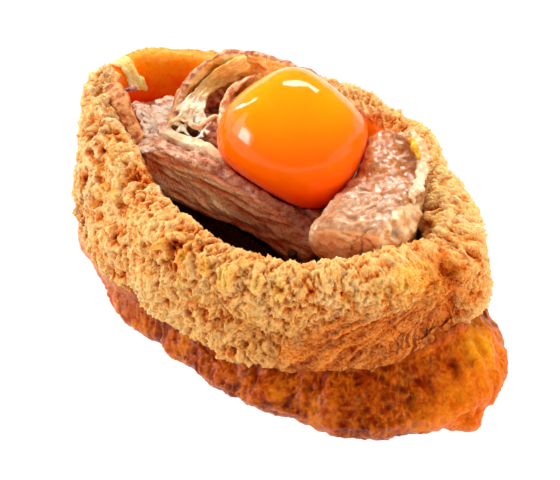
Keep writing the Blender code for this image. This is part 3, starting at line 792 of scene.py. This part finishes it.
def build_yolk():
    piece = fine_copy("egg_yolk", "yolk", 0.35, smoothing=14)
    points = read_points(piece.data)
    outward = read_normals(piece.data)
    points[:, 2] = YOLK_CENTRE[2] + (points[:, 2] - YOLK_CENTRE[2]) * YOLK_FLATTER
    x, y, z = points.T
    wrinkled = around(points, (-8.5, -8.5, 33.5), (3.0, 3.0, 3.5))
    lines = ridges(warped(points, 2.0, 0.8, 90) * (1.0, 1.0, 0.7), 1.4, 91)
    folded = around(points, (11.0, 0.0, 36.0), (3.5, 6.0, 5.0))
    pleats = layered(points * (1.0, 1.0, 0.25), 2.6, 2, 93)
    relief = (0.10 * layered(points, 7.0, 2, 92) + 0.22 * wrinkled * (lines - 0.5)
              + 0.16 * folded * pleats)
    write_points(piece.data, points + outward * relief[:, None])
    low, high = 21.0, 45.5
    height = (z - low) / (high - low)
    # Painted light and shade: the yolk's orange is painted darker and redder lower down, lighter towards the top,
    # and lighter on its left side, towards the lamps.
    colour = mix(srgb(236, 26, 0), srgb(255, 70, 0), smooth_step(height, 0.08, 0.36))
    colour = mix(colour, srgb(255, 108, 0), smooth_step(height, 0.34, 0.66))
    colour = mix(colour, srgb(255, 150, 0), smooth_step(height, 0.66, 0.95))
    side = smooth_step(-x + 0.8 * y, 3.0, 13.0)
    colour = mix(colour, srgb(255, 152, 2), 0.8 * side * smooth_step(height, 0.2, 0.6))
    paint(piece, colour, wet=np.ones(len(points)))
    piece.data.materials.append(food_material("yolk_finish", 1.5, 0.0, dry=0.10, wet=0.09,
                                              specular=0.32, subsurface=0.6, mottle=0.0,
                                              radius_mm=(6.0, 2.0, 0.2)))
    adopt(piece, "egg_yolk", "egg_yolk")


# --------------------------------------------------------------- the beef

def along_spine(points, start, end):
    """Distance along a line through a piece, across it, and up, all in mm."""
    start, end = np.array(start, float), np.array(end, float)
    axis = end - start
    length = np.linalg.norm(axis)
    axis /= length
    side = np.cross(axis, (0.0, 0.0, 1.0))
    side /= np.linalg.norm(side)
    up = np.cross(side, axis)
    off = points - start
    return off @ axis, off @ side, off @ up


def beef_material(name, bump_mm=0.22, **settings):
    settings = {"dry": 0.5, "wet": 0.18, "subsurface": 0.15, "radius_mm": (2.0, 0.7, 0.4),
                "specular": 0.45, "mottle": 0.22, **settings}
    return food_material(name, 0.4, bump_mm, **settings)


def build_slab():
    piece = fine_copy("beef_slab", "beef_slab_meat", 0.24)
    points = read_points(piece.data)
    outward = read_normals(piece.data)
    s, across, up = along_spine(points, (-22.5, -9.6, 24.2), (11.0, -5.4, 20.6))
    grain = warped(np.column_stack([s * 0.24, across, up]), 3.0, 1.5, 106)
    fibre = layered(grain, 1.5, 3, 100)
    strand = ridges(grain, 1.3, 101)
    bumps = layered(points, 2.6, 3, 102)
    lump = layered(points, 5.0, 2, 107)
    top = smooth_step(outward[:, 2], 0.35, 0.8)
    end = smooth_step(-outward[:, 0], 0.55, 0.85)
    seam = np.exp(-((across + 0.7 + 0.3 * bumps) / 0.30) ** 2) * top
    relief = (0.35 * lump + (1.0 - top) * (0.34 * fibre + 0.26 * strand)
              + top * (0.28 * bumps + 0.12 * strand - 0.5 * seam))
    stripe = smooth_step(-across + 0.3 * bumps, 0.7, 1.0) * smooth_step(up, 1.0, 3.0)
    relief += stripe * top * (0.45 + 0.30 * (ridges(grain * (1.0, 1.6, 1.0), 1.2, 108) - 0.5))
    write_points(piece.data, points + outward * relief[:, None])

    face = mix(srgb(236, 102, 42), srgb(255, 198, 132), smooth_step(fibre + 0.4 * strand, -0.8, 1.1))
    face = mix(face, srgb(255, 216, 170), 0.60 * smooth_step(layered(grain, 1.8, 2, 103), 0.35, 0.9))
    # Painted shade: the face darkens towards its right end, where it runs under the yolk, and to near black along
    # its bottom edge.
    face = mix(face, srgb(184, 84, 44), 0.65 * smooth_step(s, 10.0, 26.0))
    face = mix(face, srgb(90, 24, 8), 0.9 * smooth_step(22.5 - 0.08 * s - points[:, 2], 0.0, 3.5))
    lean_top = mix(srgb(176, 96, 52), srgb(228, 170, 122),
                   smooth_step(layered(points, 1.2, 3, 104), -0.5, 0.7))
    lean_top = mix(lean_top, srgb(150, 60, 24), 0.7 * smooth_step(noise(points, 3.2, 105), 0.30, 0.6))
    # Painted shade: the top darkens towards the right end, under the yolk.
    lean_top = mix(lean_top, srgb(150, 76, 48), 0.6 * smooth_step(s, 14.0, 26.0))
    fat = mix(srgb(226, 178, 122), srgb(252, 222, 174), smooth_step(bumps, -0.5, 0.6))
    colour = mix(face, lean_top, top)
    colour = mix(colour, fat, stripe * smooth_step(17.0 - s, 0.0, 6.0))
    colour = mix(colour, srgb(228, 156, 104), 0.7 * end * (1.0 - stripe))
    paint(piece, colour, wet=0.5 + 0.4 * smooth_step(bumps, -0.4, 0.7))
    piece.data.materials.append(beef_material("beef_slab_finish", 0.26, specular=1.0, dry=0.4, wet=0.12))
    adopt(piece, "simmered_beef", "beef_slab")


SCREEN_RIGHT = np.array((math.cos(AZIMUTH), math.sin(AZIMUTH), 0.0))
SCREEN_UP = np.array((-math.sin(AZIMUTH) * math.sin(ELEVATION),
                      math.cos(AZIMUTH) * math.sin(ELEVATION), math.cos(ELEVATION)))

# Cracks on the chunk's near face, the shoulder above it and the pale rim: points in mm.
CHUNK_SHOULDER = ((15.4, -10.0, 30.4), (18.2, -9.0, 31.4), (20.8, -7.6, 31.4), (23.2, -5.4, 31.0))
CHUNK_CRACKS = (
    ((19.1, -9.1, 28.7), (20.5, -8.2, 28.6), (21.8, -7.6, 29.9), (23.1, -6.8, 29.1), (24.1, -6.1, 27.9)),
    ((18.9, -9.1, 30.4), (20.2, -8.4, 30.4), (21.8, -7.6, 29.9)),
    ((21.8, -7.6, 29.9), (22.2, -6.8, 30.9), (22.8, -5.9, 31.3)),
    ((20.5, -8.2, 28.6), (20.4, -8.2, 26.9)),
    ((21.8, -7.6, 29.9), (22.0, -7.4, 28.2), (21.8, -7.4, 26.3)),
)
CHUNK_RIM = ((14.5, -11.2, 27.8), (14.9, -10.2, 30.2), (13.9, -7.1, 30.9), (13.4, -4.2, 31.1),
             (12.2, 0.6, 30.8))


def build_chunk():
    piece = fine_copy("beef_chunk", "beef_chunk_meat", 0.24)
    points = read_points(piece.data)
    outward = read_normals(piece.data)
    x, y, z = points.T
    wavy = warped(points, 1.5, 0.35, 116)
    bumps = layered(points, 3.0, 3, 110)
    cracks = np.max([near_line(wavy, line, 0.16) for line in CHUNK_CRACKS], axis=0)
    shoulder = near_line(wavy, CHUNK_SHOULDER, 1.0)
    rim = near_line(wavy, CHUNK_RIM, 0.6)
    top = smooth_step(outward[:, 2], 0.4, 0.8)
    grooved = around(points, (18.0, -3.0, 32.0), (5.0, 5.0, 4.0)) * top
    grooves = ridges(warped(points, 4.0, 1.0, 117) * (1.0, 0.35, 1.0), 1.5, 113)
    ovals = (around(points, (17.6, 3.0, 32.0), (1.6, 2.4, 3.0))
             + around(points, (20.2, 4.6, 32.0), (1.3, 2.0, 3.0)))
    lobe = smooth_step(x - 0.30 * y - 0.55 * np.maximum(-y, 0.0) + 0.5 * layered(points, 3.0, 2, 115),
                       22.7, 23.3)
    knobs = layered(points, 2.6, 2, 118) * lobe
    relief = (0.34 * bumps - 0.34 * cracks + 0.30 * rim + 0.35 * shoulder + 0.55 * grooved * (grooves - 0.5)
              + 0.25 * ovals + 0.5 * knobs)
    notch = around(points, (25.2, -2.4, 29.8), (0.9, 0.9, 0.9))
    calm = 0.30 - 0.22 * smooth_step(-outward[:, 1], 0.5, 0.8)
    relief += calm * (ridges(warped(points, 2.4, 0.9, 111), 2.1, 108) - 0.5) - 1.2 * notch
    sideways, rise = points @ SCREEN_RIGHT, points @ SCREEN_UP
    narrower = -0.17 * np.maximum(sideways - 14.0, 0.0) * smooth_step(18.0 - rise, 0.0, 4.0)
    write_points(piece.data, points + outward * relief[:, None] + np.outer(narrower, SCREEN_RIGHT))

    lean = mix(srgb(242, 150, 86), srgb(255, 204, 142), smooth_step(bumps, -0.8, 0.9))
    grainy = smooth_step(layered(points, 1.4, 3, 112), -0.5, 0.5)
    back_top = mix(srgb(158, 82, 32), srgb(192, 112, 46), grainy)
    front_top = mix(srgb(162, 94, 48), srgb(206, 144, 94), grainy)
    lean = mix(lean, mix(front_top, back_top, smooth_step(y, -1.0, 5.0)), 0.9 * top)
    # Painted shade in the cracks.
    lean = mix(lean, srgb(110, 36, 12), 0.60 * cracks)
    lean = mix(lean, srgb(240, 196, 150), 0.8 * rim)
    pale = smooth_step(layered(points, 1.6, 3, 119) + 0.5 * ovals, 0.15, 0.8) * top
    lean = mix(lean, srgb(226, 178, 138), 0.55 * pale + 0.6 * grooved * grooves)
    fat = mix(srgb(214, 142, 78), srgb(252, 216, 160), smooth_step(layered(points, 1.8, 2, 114), -0.5, 0.6))
    # Painted shade: the notch is painted dark.
    colour = mix(mix(lean, fat, lobe), srgb(90, 30, 12), notch)
    # Painted shade: darker low down, inside the pouch.
    low = smooth_step(25.0 - z, 0.0, 3.0)
    colour = mix(colour, srgb(160, 74, 34), 0.7 * low)
    paint(piece, colour, wet=0.6 + 0.4 * smooth_step(bumps, -0.6, 0.5))
    piece.data.materials.append(beef_material("beef_chunk_finish", 0.10, specular=1.0, dry=0.35, wet=0.10))
    adopt(piece, "simmered_beef", "beef_chunk")


def build_back_slice():
    piece = fine_copy("beef_back_slice", "beef_back_slice_meat", 0.22, smoothing=3)
    points = read_points(piece.data)
    outward = read_normals(piece.data)
    x, y, z = points.T
    waves = layered(points * (1.0, 1.0, 0.5), 3.0, 2, 120)
    streaks = ridges(points * (0.35, 0.35, 1.0), 1.3, 121)
    relief = 0.30 * waves + 0.30 * streaks + 0.15 * layered(points, 1.1, 2, 123)
    write_points(piece.data, points + outward * relief[:, None])
    inward = (smooth_step(-outward[:, 1] + 0.5 * outward[:, 0], 0.15, 0.5)
              * smooth_step(0.75 - outward[:, 2], 0.0, 0.25))
    lean = mix(srgb(168, 84, 40), srgb(230, 166, 116), smooth_step(layered(points, 1.0, 3, 122), -0.5, 0.6))
    fat = mix(srgb(246, 172, 66), srgb(255, 222, 142), smooth_step(waves + streaks, -0.2, 1.3))
    colour = mix(lean, fat, inward)
    paint(piece, colour, wet=0.4 + 0.4 * inward)
    piece.data.materials.append(beef_material("beef_back_finish", subsurface=0.2))
    adopt(piece, "beef_fat", "beef_back_slice")


def build_small_meat():
    """The fat web, the strip and the sliver."""
    pieces = (
        ("beef_fat_web", "beef_fat", srgb(150, 62, 30), srgb(226, 158, 110), 130),
        ("beef_strip", "simmered_beef", srgb(176, 84, 34), srgb(236, 158, 88), 140),
        ("beef_sliver", "beef_fat", srgb(206, 146, 110), srgb(244, 222, 196), 150),
    )
    for node, slot, dark, light, seed in pieces:
        piece = fine_copy(node, node + "_meat", 0.20, smoothing=3)
        points = read_points(piece.data)
        outward = read_normals(piece.data)
        bumps = layered(points, 1.6, 3, seed)
        write_points(piece.data, points + outward * (0.22 * bumps)[:, None])
        colour = mix(dark, light, smooth_step(layered(points, 1.4, 3, seed + 1), -0.6, 0.6))
        paint(piece, colour, wet=np.full(len(points), 0.6))
        piece.data.materials.append(beef_material(node + "_finish", subsurface=0.25))
        adopt(piece, slot, node)


# ---------------------------------------------------------- torn shreds

def smooth_curve(corners, count):
    """Points along a smooth curve through the corners (Catmull-Rom)."""
    corners = np.array(corners, float)
    padded = np.concatenate([2 * corners[:1] - corners[1:2], corners, 2 * corners[-1:] - corners[-2:-1]])
    place = np.linspace(0.0, len(corners) - 1.0, count)
    step = np.minimum(place.astype(int), len(corners) - 2)
    t = (place - step).reshape(-1, *[1] * (corners.ndim - 1))
    a, b, c, d = (padded[step + k] for k in range(4))
    return 0.5 * (2 * b + (c - a) * t + (2 * a - 5 * b + 4 * c - d) * t ** 2
                  + (3 * b - a - 3 * c + d) * t ** 3)


def ribbon(corners, width, thickness, seed, ragged=0.35, tilt=0.0):
    """A torn, closed ribbon along a curve, as a grid of points in rings."""
    sides = 22
    length = np.linalg.norm(np.diff(np.array(corners, float), axis=0), axis=1).sum()
    rings = max(12, int(length / 0.22))
    spine = smooth_curve(corners, rings)
    direction = np.gradient(spine, axis=0)
    direction /= np.linalg.norm(direction, axis=1, keepdims=True)
    across = np.cross(direction, (0.0, math.sin(tilt), math.cos(tilt)))
    across /= np.linalg.norm(across, axis=1, keepdims=True)
    up = np.cross(across, direction)
    ends = np.sqrt(np.clip(1.0 - np.abs(np.linspace(-1.0, 1.0, rings)) ** 6, 0.0, 1.0))
    along = np.linspace(0.0, length, rings)
    wide = 1.0 + ragged * layered(np.column_stack([along, along * 0, along * 0 + seed]), 1.6, 2, seed)
    turn = np.linspace(0.0, 2.0 * math.pi, sides, endpoint=False)
    half = width / 2 * (wide * ends)[:, None] * np.cos(turn)
    thick = thickness / 2 * ends[:, None] * np.sin(turn)
    points = spine[:, None] + across[:, None] * half[..., None] + up[:, None] * thick[..., None]
    flat = points.reshape(-1, 3)
    shift = np.stack([noise(flat, 1.3, seed + k) for k in (5, 6, 7)], axis=1)
    return points + (0.30 * thickness + 0.12) * shift.reshape(points.shape)


def build_shreds(name, slot, ribbons, dark, light, seed, nodes=(), **settings):
    """Several ribbons as one piece."""
    all_points, all_faces, count = [], [], 0
    for number, (corners, width, thickness, tilt) in enumerate(ribbons):
        points = ribbon(corners, width, thickness, seed + number, tilt=tilt)
        rings, sides = points.shape[:2]
        faces = np.array(grid_faces(rings, sides)) + count
        all_faces += faces.tolist()
        all_faces.append([count + k for k in range(sides)][::-1])
        all_faces.append([count + (rings - 1) * sides + k for k in range(sides)])
        all_points.append(points.reshape(-1, 3))
        count += rings * sides
    points = np.vstack(all_points)
    colour = mix(dark, light, smooth_step(layered(points, 1.1, 3, seed + 50), -0.6, 0.6))
    piece = make_object(name, points, all_faces)
    paint(piece, colour, wet=np.full(len(points), 0.8))
    piece.data.materials.append(beef_material(name + "_finish", subsurface=0.35, **settings))
    adopt(piece, slot, *nodes)
    return piece


def torn_film(name, slot, corners, thickness, seed, start, finish, lace_from=2.0, ragged=1.0, **settings):
    """A torn film through rows of points. From a share of its length on it is a lace of holes.

    Start and finish are the dark and the light colour at its two ends.
    """
    corners = np.array(corners, float)
    length = np.linalg.norm(np.diff(corners.mean(axis=1), axis=0), axis=1).sum()
    width = np.linalg.norm(np.diff(corners, axis=1), axis=2).sum(axis=1).max()
    rows, columns = int(length / 0.13), int(width / 0.13)
    grid = smooth_curve(np.swapaxes(smooth_curve(corners, rows), 0, 1), columns).swapaxes(0, 1)
    normal = np.cross(np.gradient(grid, axis=1), np.gradient(grid, axis=0))
    normal /= np.maximum(np.linalg.norm(normal, axis=2, keepdims=True), 1e-9)
    points, normal = grid.reshape(-1, 3), normal.reshape(-1, 3)
    along, across = np.meshgrid(np.linspace(0.0, 1.0, rows), np.linspace(0.0, 1.0, columns), indexing="ij")
    along, across = along.ravel(), across.ravel()
    border = np.minimum(np.minimum(across, 1.0 - across) * width, np.minimum(along, 1.0 - along) * length)
    strength = border - 0.5 * ragged + 0.6 * ragged * layered(points, 1.8, 3, seed)
    nearest, second = cells(warped(points, 2.0, 0.6, seed + 1), 2.6, seed + 2)
    lace = (0.20 - (second - nearest)) * 3.0
    share = smooth_step(along, lace_from - 0.08, lace_from + 0.04)
    strength = np.minimum(strength, lace * share + 1.0 - share)
    flow = np.column_stack([across * width, along * length * 0.25, np.zeros(len(points))])
    streaks = ridges(warped(flow, 2.0, 0.5, seed + 3), 1.2, seed + 4)
    waves = layered(points, 3.0, 2, seed + 5)
    middle = points + normal * (0.45 * waves + 0.12 * (streaks - 0.5))[:, None]
    half = (0.04 + thickness / 2 * np.sqrt(np.clip(strength / 0.5, 0.0, 1.0)))[:, None] * normal

    quads = np.array(grid_faces(rows, columns, wrap=False))
    quads = quads[strength[quads].mean(axis=1) > 0.0]
    count = len(points)
    sides = np.stack([quads, np.roll(quads, -1, axis=1)], axis=-1).reshape(-1, 2)
    open_side = ~np.isin(sides[:, 0] * count + sides[:, 1], sides[:, 1] * count + sides[:, 0])
    first, last = sides[open_side].T
    faces = np.vstack([quads, quads[:, ::-1] + count,
                       np.stack([last, first, first + count, last + count], axis=1)])
    used, faces = np.unique(faces, return_inverse=True)
    both = np.vstack([middle + half, middle - half])[used]
    tone = np.tile(smooth_step(waves + streaks + layered(points, 1.0, 2, seed + 6), -0.5, 1.5), 2)[used]
    along = np.tile(along, 2)[used]
    colour = mix(mix(start[0], start[1], tone), mix(finish[0], finish[1], tone),
                 smooth_step(along, 0.25, 0.6))
    piece = make_object(name, both, faces.reshape(-1, 4).tolist())
    paint(piece, colour, wet=np.full(len(both), 0.9))
    piece.data.materials.append(beef_material(name + "_finish", subsurface=0.4, mottle=0.12, **settings))
    adopt(piece, slot)


# Places in mm. Each row of a film goes across it.
FAT_FILM = (
    ((-19.2, 10.3, 37.1), (-17.6, 9.8, 36.9), (-16.7, 9.9, 36.0), (-16.3, 10.1, 34.6)),
    ((-21.7, 8.3, 35.3), (-20.7, 8.4, 34.2), (-20.1, 8.8, 33.0), (-19.6, 9.1, 31.8)),
    ((-23.6, 5.2, 32.9), (-22.9, 5.3, 31.9), (-22.2, 5.6, 31.0), (-21.2, 5.3, 30.6)),
    ((-24.1, 2.1, 31.2), (-23.0, 2.4, 30.7), (-21.9, 2.4, 30.6), (-20.8, 2.5, 30.5)),
    ((-24.1, -1.3, 30.6), (-22.6, -0.6, 30.3), (-20.8, -0.0, 30.2), (-19.6, 0.7, 30.0)),
    ((-23.5, -3.5, 29.8), (-21.7, -2.7, 29.6), (-20.0, -1.7, 29.7), (-18.6, 0.0, 29.6)),
    ((-22.7, -5.1, 29.0), (-20.7, -4.2, 29.1), (-18.5, -3.2, 29.2), (-16.7, -0.8, 29.4)),
    ((-21.6, -6.3, 28.6), (-19.1, -5.8, 28.7), (-16.6, -5.0, 28.9), (-14.6, -2.9, 29.1)),
)
CHUNK_FRINGE = (
    ((10.8, 16.3, 32.6), (11.4, 17.2, 32.6), (12.2, 17.5, 32.4)),
    ((13.9, 14.1, 33.0), (15.1, 15.1, 33.0), (16.5, 15.9, 32.6)),
    ((16.8, 11.6, 33.0), (18.1, 12.4, 33.0), (19.8, 13.2, 32.4)),
    ((19.3, 9.0, 33.0), (20.6, 9.4, 32.8), (21.9, 10.1, 32.0)),
    ((21.0, 6.0, 32.8), (22.4, 5.8, 32.6), (23.8, 6.2, 31.8)),
    ((22.3, 3.3, 32.6), (23.4, 3.0, 32.4), (24.5, 2.8, 31.8)),
)
RIM_FLAP = (
    ((-40.7, -1.9, 30.8), (-40.6, -0.3, 31.2), (-40.2, 1.6, 31.2)),
    ((-38.8, -1.4, 30.6), (-38.6, 0.1, 30.9), (-38.1, 1.7, 30.9)),
    ((-37.5, -1.4, 29.7), (-36.9, 0.1, 29.8), (-36.5, 1.6, 29.8)),
    ((-36.6, -1.4, 28.4), (-36.0, 0.0, 28.3), (-35.5, 1.8, 28.2)),
    ((-35.9, -1.4, 26.8), (-34.9, -0.0, 26.3), (-33.9, 1.7, 25.8)),
)
FAT_STRANDS = (
    (((-15.9, 8.9, 34.6), (-17.7, 7.5, 33.0), (-18.4, 5.7, 31.8), (-17.8, 3.5, 30.8), (-16.4, 1.2, 30.0)), 1.5, 0.7, 0.4),
    (((-17.9, 2.9, 30.4), (-16.4, 0.9, 29.8), (-14.5, -1.2, 29.4), (-12.6, -3.1, 29.0)), 1.2, 0.7, 0.2),
    (((-22.7, -6.2, 28.6), (-22.4, -4.4, 29.4), (-20.2, -3.5, 29.6), (-17.9, -3.2, 29.5), (-17.7, -0.2, 29.8), (-16.8, 1.3, 30.0)), 1.1, 0.7, 0.2),
)
ONION_SHREDS = (
    (((-32.0, -4.7, 28.6), (-28.6, -5.5, 28.2), (-25.1, -7.6, 27.8), (-22.6, -9.8, 27.6)), 2.8, 0.8, 0.2),
    (((-29.5, -4.9, 28.2), (-26.4, -6.2, 28.0), (-23.6, -8.2, 27.6)), 2.0, 0.7, 0.5),
    (((-29.9, -2.0, 27.2), (-27.0, -3.6, 27.0), (-24.3, -5.3, 26.8), (-21.8, -6.7, 27.0)), 3.2, 0.8, 0.1),
    (((-30.3, 0.5, 26.8), (-27.6, -0.5, 26.6), (-24.8, -2.4, 26.8)), 3.6, 0.8, 0.3),
    (((-30.6, 3.6, 25.4), (-29.0, 1.4, 26.0), (-27.2, 0.8, 26.4), (-25.0, -1.2, 26.6)), 3.0, 0.9, 0.3),
    (((-23.2, -13.6, 27.6), (-21.7, -12.2, 28.2), (-20.6, -10.6, 28.4), (-21.4, -7.8, 28.4)), 1.9, 0.7, 0.3),
    (((-24.6, -12.4, 26.6), (-23.4, -11.4, 27.2), (-22.6, -9.0, 27.6)), 2.6, 0.8, 0.0),
)
DARK_BIT = ((((-34.6, -4.6, 29.4), (-33.8, -3.4, 29.8), (-33.4, -2.4, 29.2)), 1.1, 0.9, 0.0),)
DRIP = (
    (((14.2, 13.7, 33.6), (15.7, 13.2, 33.8), (17.1, 12.0, 33.8), (18.8, 11.0, 33.6)), 1.2, 0.9, 0.0),
    (((16.2, 12.6, 33.8), (17.4, 12.1, 33.9), (18.7, 11.3, 33.6)), 0.8, 0.9, 0.0),
)


# --------------------------------------------------------------- the rice

GRAIN_LENGTH = 5.6
GRAIN_WIDTH = 2.7
GRAIN_COUNT = 620
CORE_INSET = 1.2


def grain_shape():
    """One cooked grain along X: a bent ellipsoid, blunt at one end."""
    rings, sides = 9, 10
    points, faces = [], []
    for ring in range(rings + 1):
        t = math.pi * ring / rings
        x = -math.cos(t) * GRAIN_LENGTH / 2
        radius = GRAIN_WIDTH / 2 * math.sin(t) ** 0.8 * (1.0 - 0.06 * x)
        for side in range(sides):
            turn = 2 * math.pi * side / sides
            points.append((x, radius * math.cos(turn), 0.85 * radius * math.sin(turn) - 0.035 * x * x))
    return np.array(points), grid_faces(rings + 1, sides)


def build_rice():
    core = fine_copy("rice_bed", "rice_core", 0.5)
    points = read_points(core.data)
    outward = read_normals(core.data)
    nearest, _ = cells(points * (1.0, 0.8, 1.0), 3.0, 160)
    relief = 0.7 * (0.6 - nearest) - CORE_INSET
    write_points(core.data, points + outward * relief[:, None])
    # Painted shade: the core is painted near black low in the gap in front of the meat, fading to its own colour
    # higher up.
    depth = smooth_step(points[:, 2] - 0.35 * np.minimum(-6.0 - points[:, 1], 6.0), 18.0, 25.0)
    colour = mix(srgb(40, 12, 4), srgb(190, 130, 84), depth)
    paint(core, colour, wet=np.full(len(points), 0.5))
    core.data.materials.append(food_material("rice_core_finish", 0.6, 0.1, wet=0.4, specular=0.1))
    adopt(core, "rice", "rice_bed")

    tops = np.flatnonzero(outward[:, 2] > 0.25)
    tops = tops[points[tops, 2] > 8.5]
    shadowed = 23.0 - points[:, 2] + 0.35 * np.minimum(-6.0 - points[:, 1], 6.0)
    tops = tops[shadowed[tops] < 1.0]
    random = np.random.default_rng(5)
    random.shuffle(tops)
    chosen = []
    for index in tops:
        place = points[index]
        if all(np.sum((place - points[other]) ** 2) > 2.3 ** 2 for other in chosen):
            chosen.append(index)
        if len(chosen) == GRAIN_COUNT:
            break
    shape, faces = grain_shape()
    all_points, all_faces, shades = [], [], []
    for number, index in enumerate(chosen):
        normal = outward[index] + 0.35 * random.normal(size=3)
        normal /= np.linalg.norm(normal)
        along = np.cross(normal, random.normal(size=3))
        along /= np.linalg.norm(along)
        side = np.cross(normal, along)
        size = random.uniform(0.85, 1.1)
        place = points[index] - outward[index] * random.uniform(0.9, 1.5)
        grain = place + size * (shape[:, :1] * along + shape[:, 1:2] * side + shape[:, 2:] * normal)
        all_points.append(grain)
        all_faces += [[corner + number * len(shape) for corner in face] for face in faces]
        shades.append(np.full(len(shape), random.uniform(0.0, 1.0)))
    grains = np.vstack(all_points)
    shade = np.concatenate(shades)
    colour = mix(srgb(222, 186, 148), srgb(248, 234, 212), shade)
    # Painted shade: grains low in the gap, and those low at the right under the chunk, are painted dark brown.
    gap_shade = smooth_step(23.0 - grains[:, 2] + 0.35 * np.minimum(-6.0 - grains[:, 1], 6.0), 0.0, 3.0)
    shaded = smooth_step(grains[:, 0], 16.0, 20.0) * smooth_step(27.0 - grains[:, 2], 0.0, 3.0)
    colour = mix(colour, srgb(58, 18, 6), np.maximum(gap_shade, 0.8 * shaded))
    piece = make_object("rice_grains", grains, all_faces)
    paint(piece, colour, wet=np.full(len(grains), 0.8))
    piece.data.materials.append(food_material("rice_grain_finish", 0.9, 0.03, wet=0.2,
                                              specular=0.4, subsurface=0.25, mottle=0.05,
                                              radius_mm=(2.0, 1.5, 1.0)))
    adopt(piece, "rice", "rice_bed")


# --------------------------------------------------------- floor and lights

def add_floor():
    floor = make_object("floor", [(-3000, -3000, -0.3), (3000, -3000, -0.3),
                                  (3000, 3000, -0.3), (-3000, 3000, -0.3)], [(0, 1, 2, 3)])
    material, nodes, links, shader = new_material("floor")
    shader.inputs["Base Color"].default_value = (0.12, 0.12, 0.12, 1.0)
    shader.inputs["Roughness"].default_value = 0.8
    shader.inputs["Specular IOR Level"].default_value = 0.0
    shader.inputs["Emission Color"].default_value = (1.0, 1.0, 1.0, 1.0)
    shader.inputs["Emission Strength"].default_value = 0.97
    floor.data.materials.append(material)


def add_softbox(name, azimuth, elevation, distance, width, height, power, mirrored=True):
    """A rectangular light that faces the object. Azimuth 0 is at -Y and 90 at +X."""
    turn, rise = math.radians(azimuth), math.radians(elevation)
    data = bpy.data.lights.new(name, "AREA")
    data.shape = "RECTANGLE"
    data.size = width
    data.size_y = height
    data.energy = power
    light = bpy.data.objects.new(name, data)
    light.visible_glossy = mirrored
    middle = Vector((0.0, 0.0, 0.02))
    light.location = middle + distance * Vector((math.sin(turn) * math.cos(rise),
                                                 -math.cos(turn) * math.cos(rise), math.sin(rise)))
    light.rotation_euler = (middle - light.location).to_track_quat("-Z", "Y").to_euler()
    bpy.context.scene.collection.objects.link(light)


def add_lights():
    add_softbox("front_left", -46.0, 9.0, 0.60, 0.22, 0.11, 1.5)
    add_softbox("front_left_soft", -46.0, 11.0, 0.62, 0.50, 0.24, 1.5)
    add_softbox("left_strip", -91.0, 16.0, 0.60, 0.035, 0.32, 1.1)
    add_softbox("back_top", -150.0, 42.0, 0.60, 0.36, 0.12, 2.8)
    add_softbox("top_left", -110.0, 62.0, 0.70, 0.70, 0.60, 3.4, mirrored=False)
    add_softbox("right_fill", 92.0, 20.0, 0.60, 0.50, 0.40, 3.0, mirrored=False)
    world = bpy.data.worlds.new("world")
    world.use_nodes = True
    world.node_tree.nodes["Background"].inputs["Color"].default_value = (1.0, 1.0, 1.0, 1.0)
    world.node_tree.nodes["Background"].inputs["Strength"].default_value = 0.2
    bpy.context.scene.world = world
    bpy.context.scene.view_settings.view_transform = "Standard"


# --------------------------------------------------------------------- main

add_camera()
pouch = Pouch()
build_cuff(pouch)
build_skin(pouch)
build_yolk()
build_slab()
build_chunk()
build_back_slice()
build_small_meat()
torn_film("beef_fat_film", "beef_fat", FAT_FILM, 0.5, 210,
          (srgb(240, 168, 74), srgb(254, 214, 130)), (srgb(240, 196, 148), srgb(255, 246, 224)),
          lace_from=0.70)
torn_film("pale_fringe", "beef_fat", CHUNK_FRINGE, 0.8, 240,
          (srgb(214, 160, 100), srgb(250, 226, 180)), (srgb(216, 166, 116), srgb(252, 230, 190)),
          ragged=1.3)
torn_film("rim_flap", "fried_tofu", RIM_FLAP, 0.7, 250,
          (srgb(250, 196, 96), srgb(255, 232, 164)), (srgb(252, 200, 84), srgb(255, 240, 170)),
          ragged=0.7)
build_shreds("beef_fat_strands", "beef_fat", FAT_STRANDS, srgb(216, 140, 84),
             srgb(248, 216, 168), 220)
build_shreds("onion_shreds", "beef_fat", ONION_SHREDS, srgb(186, 116, 84),
             srgb(238, 200, 166), 230)
build_shreds("dark_shred", "simmered_beef", DARK_BIT, srgb(100, 54, 50), srgb(176, 120, 118), 260)
build_shreds("yolk_drip", "egg_yolk", DRIP, srgb(250, 150, 10), srgb(255, 196, 50), 270)
build_rice()
add_floor()
add_lights()
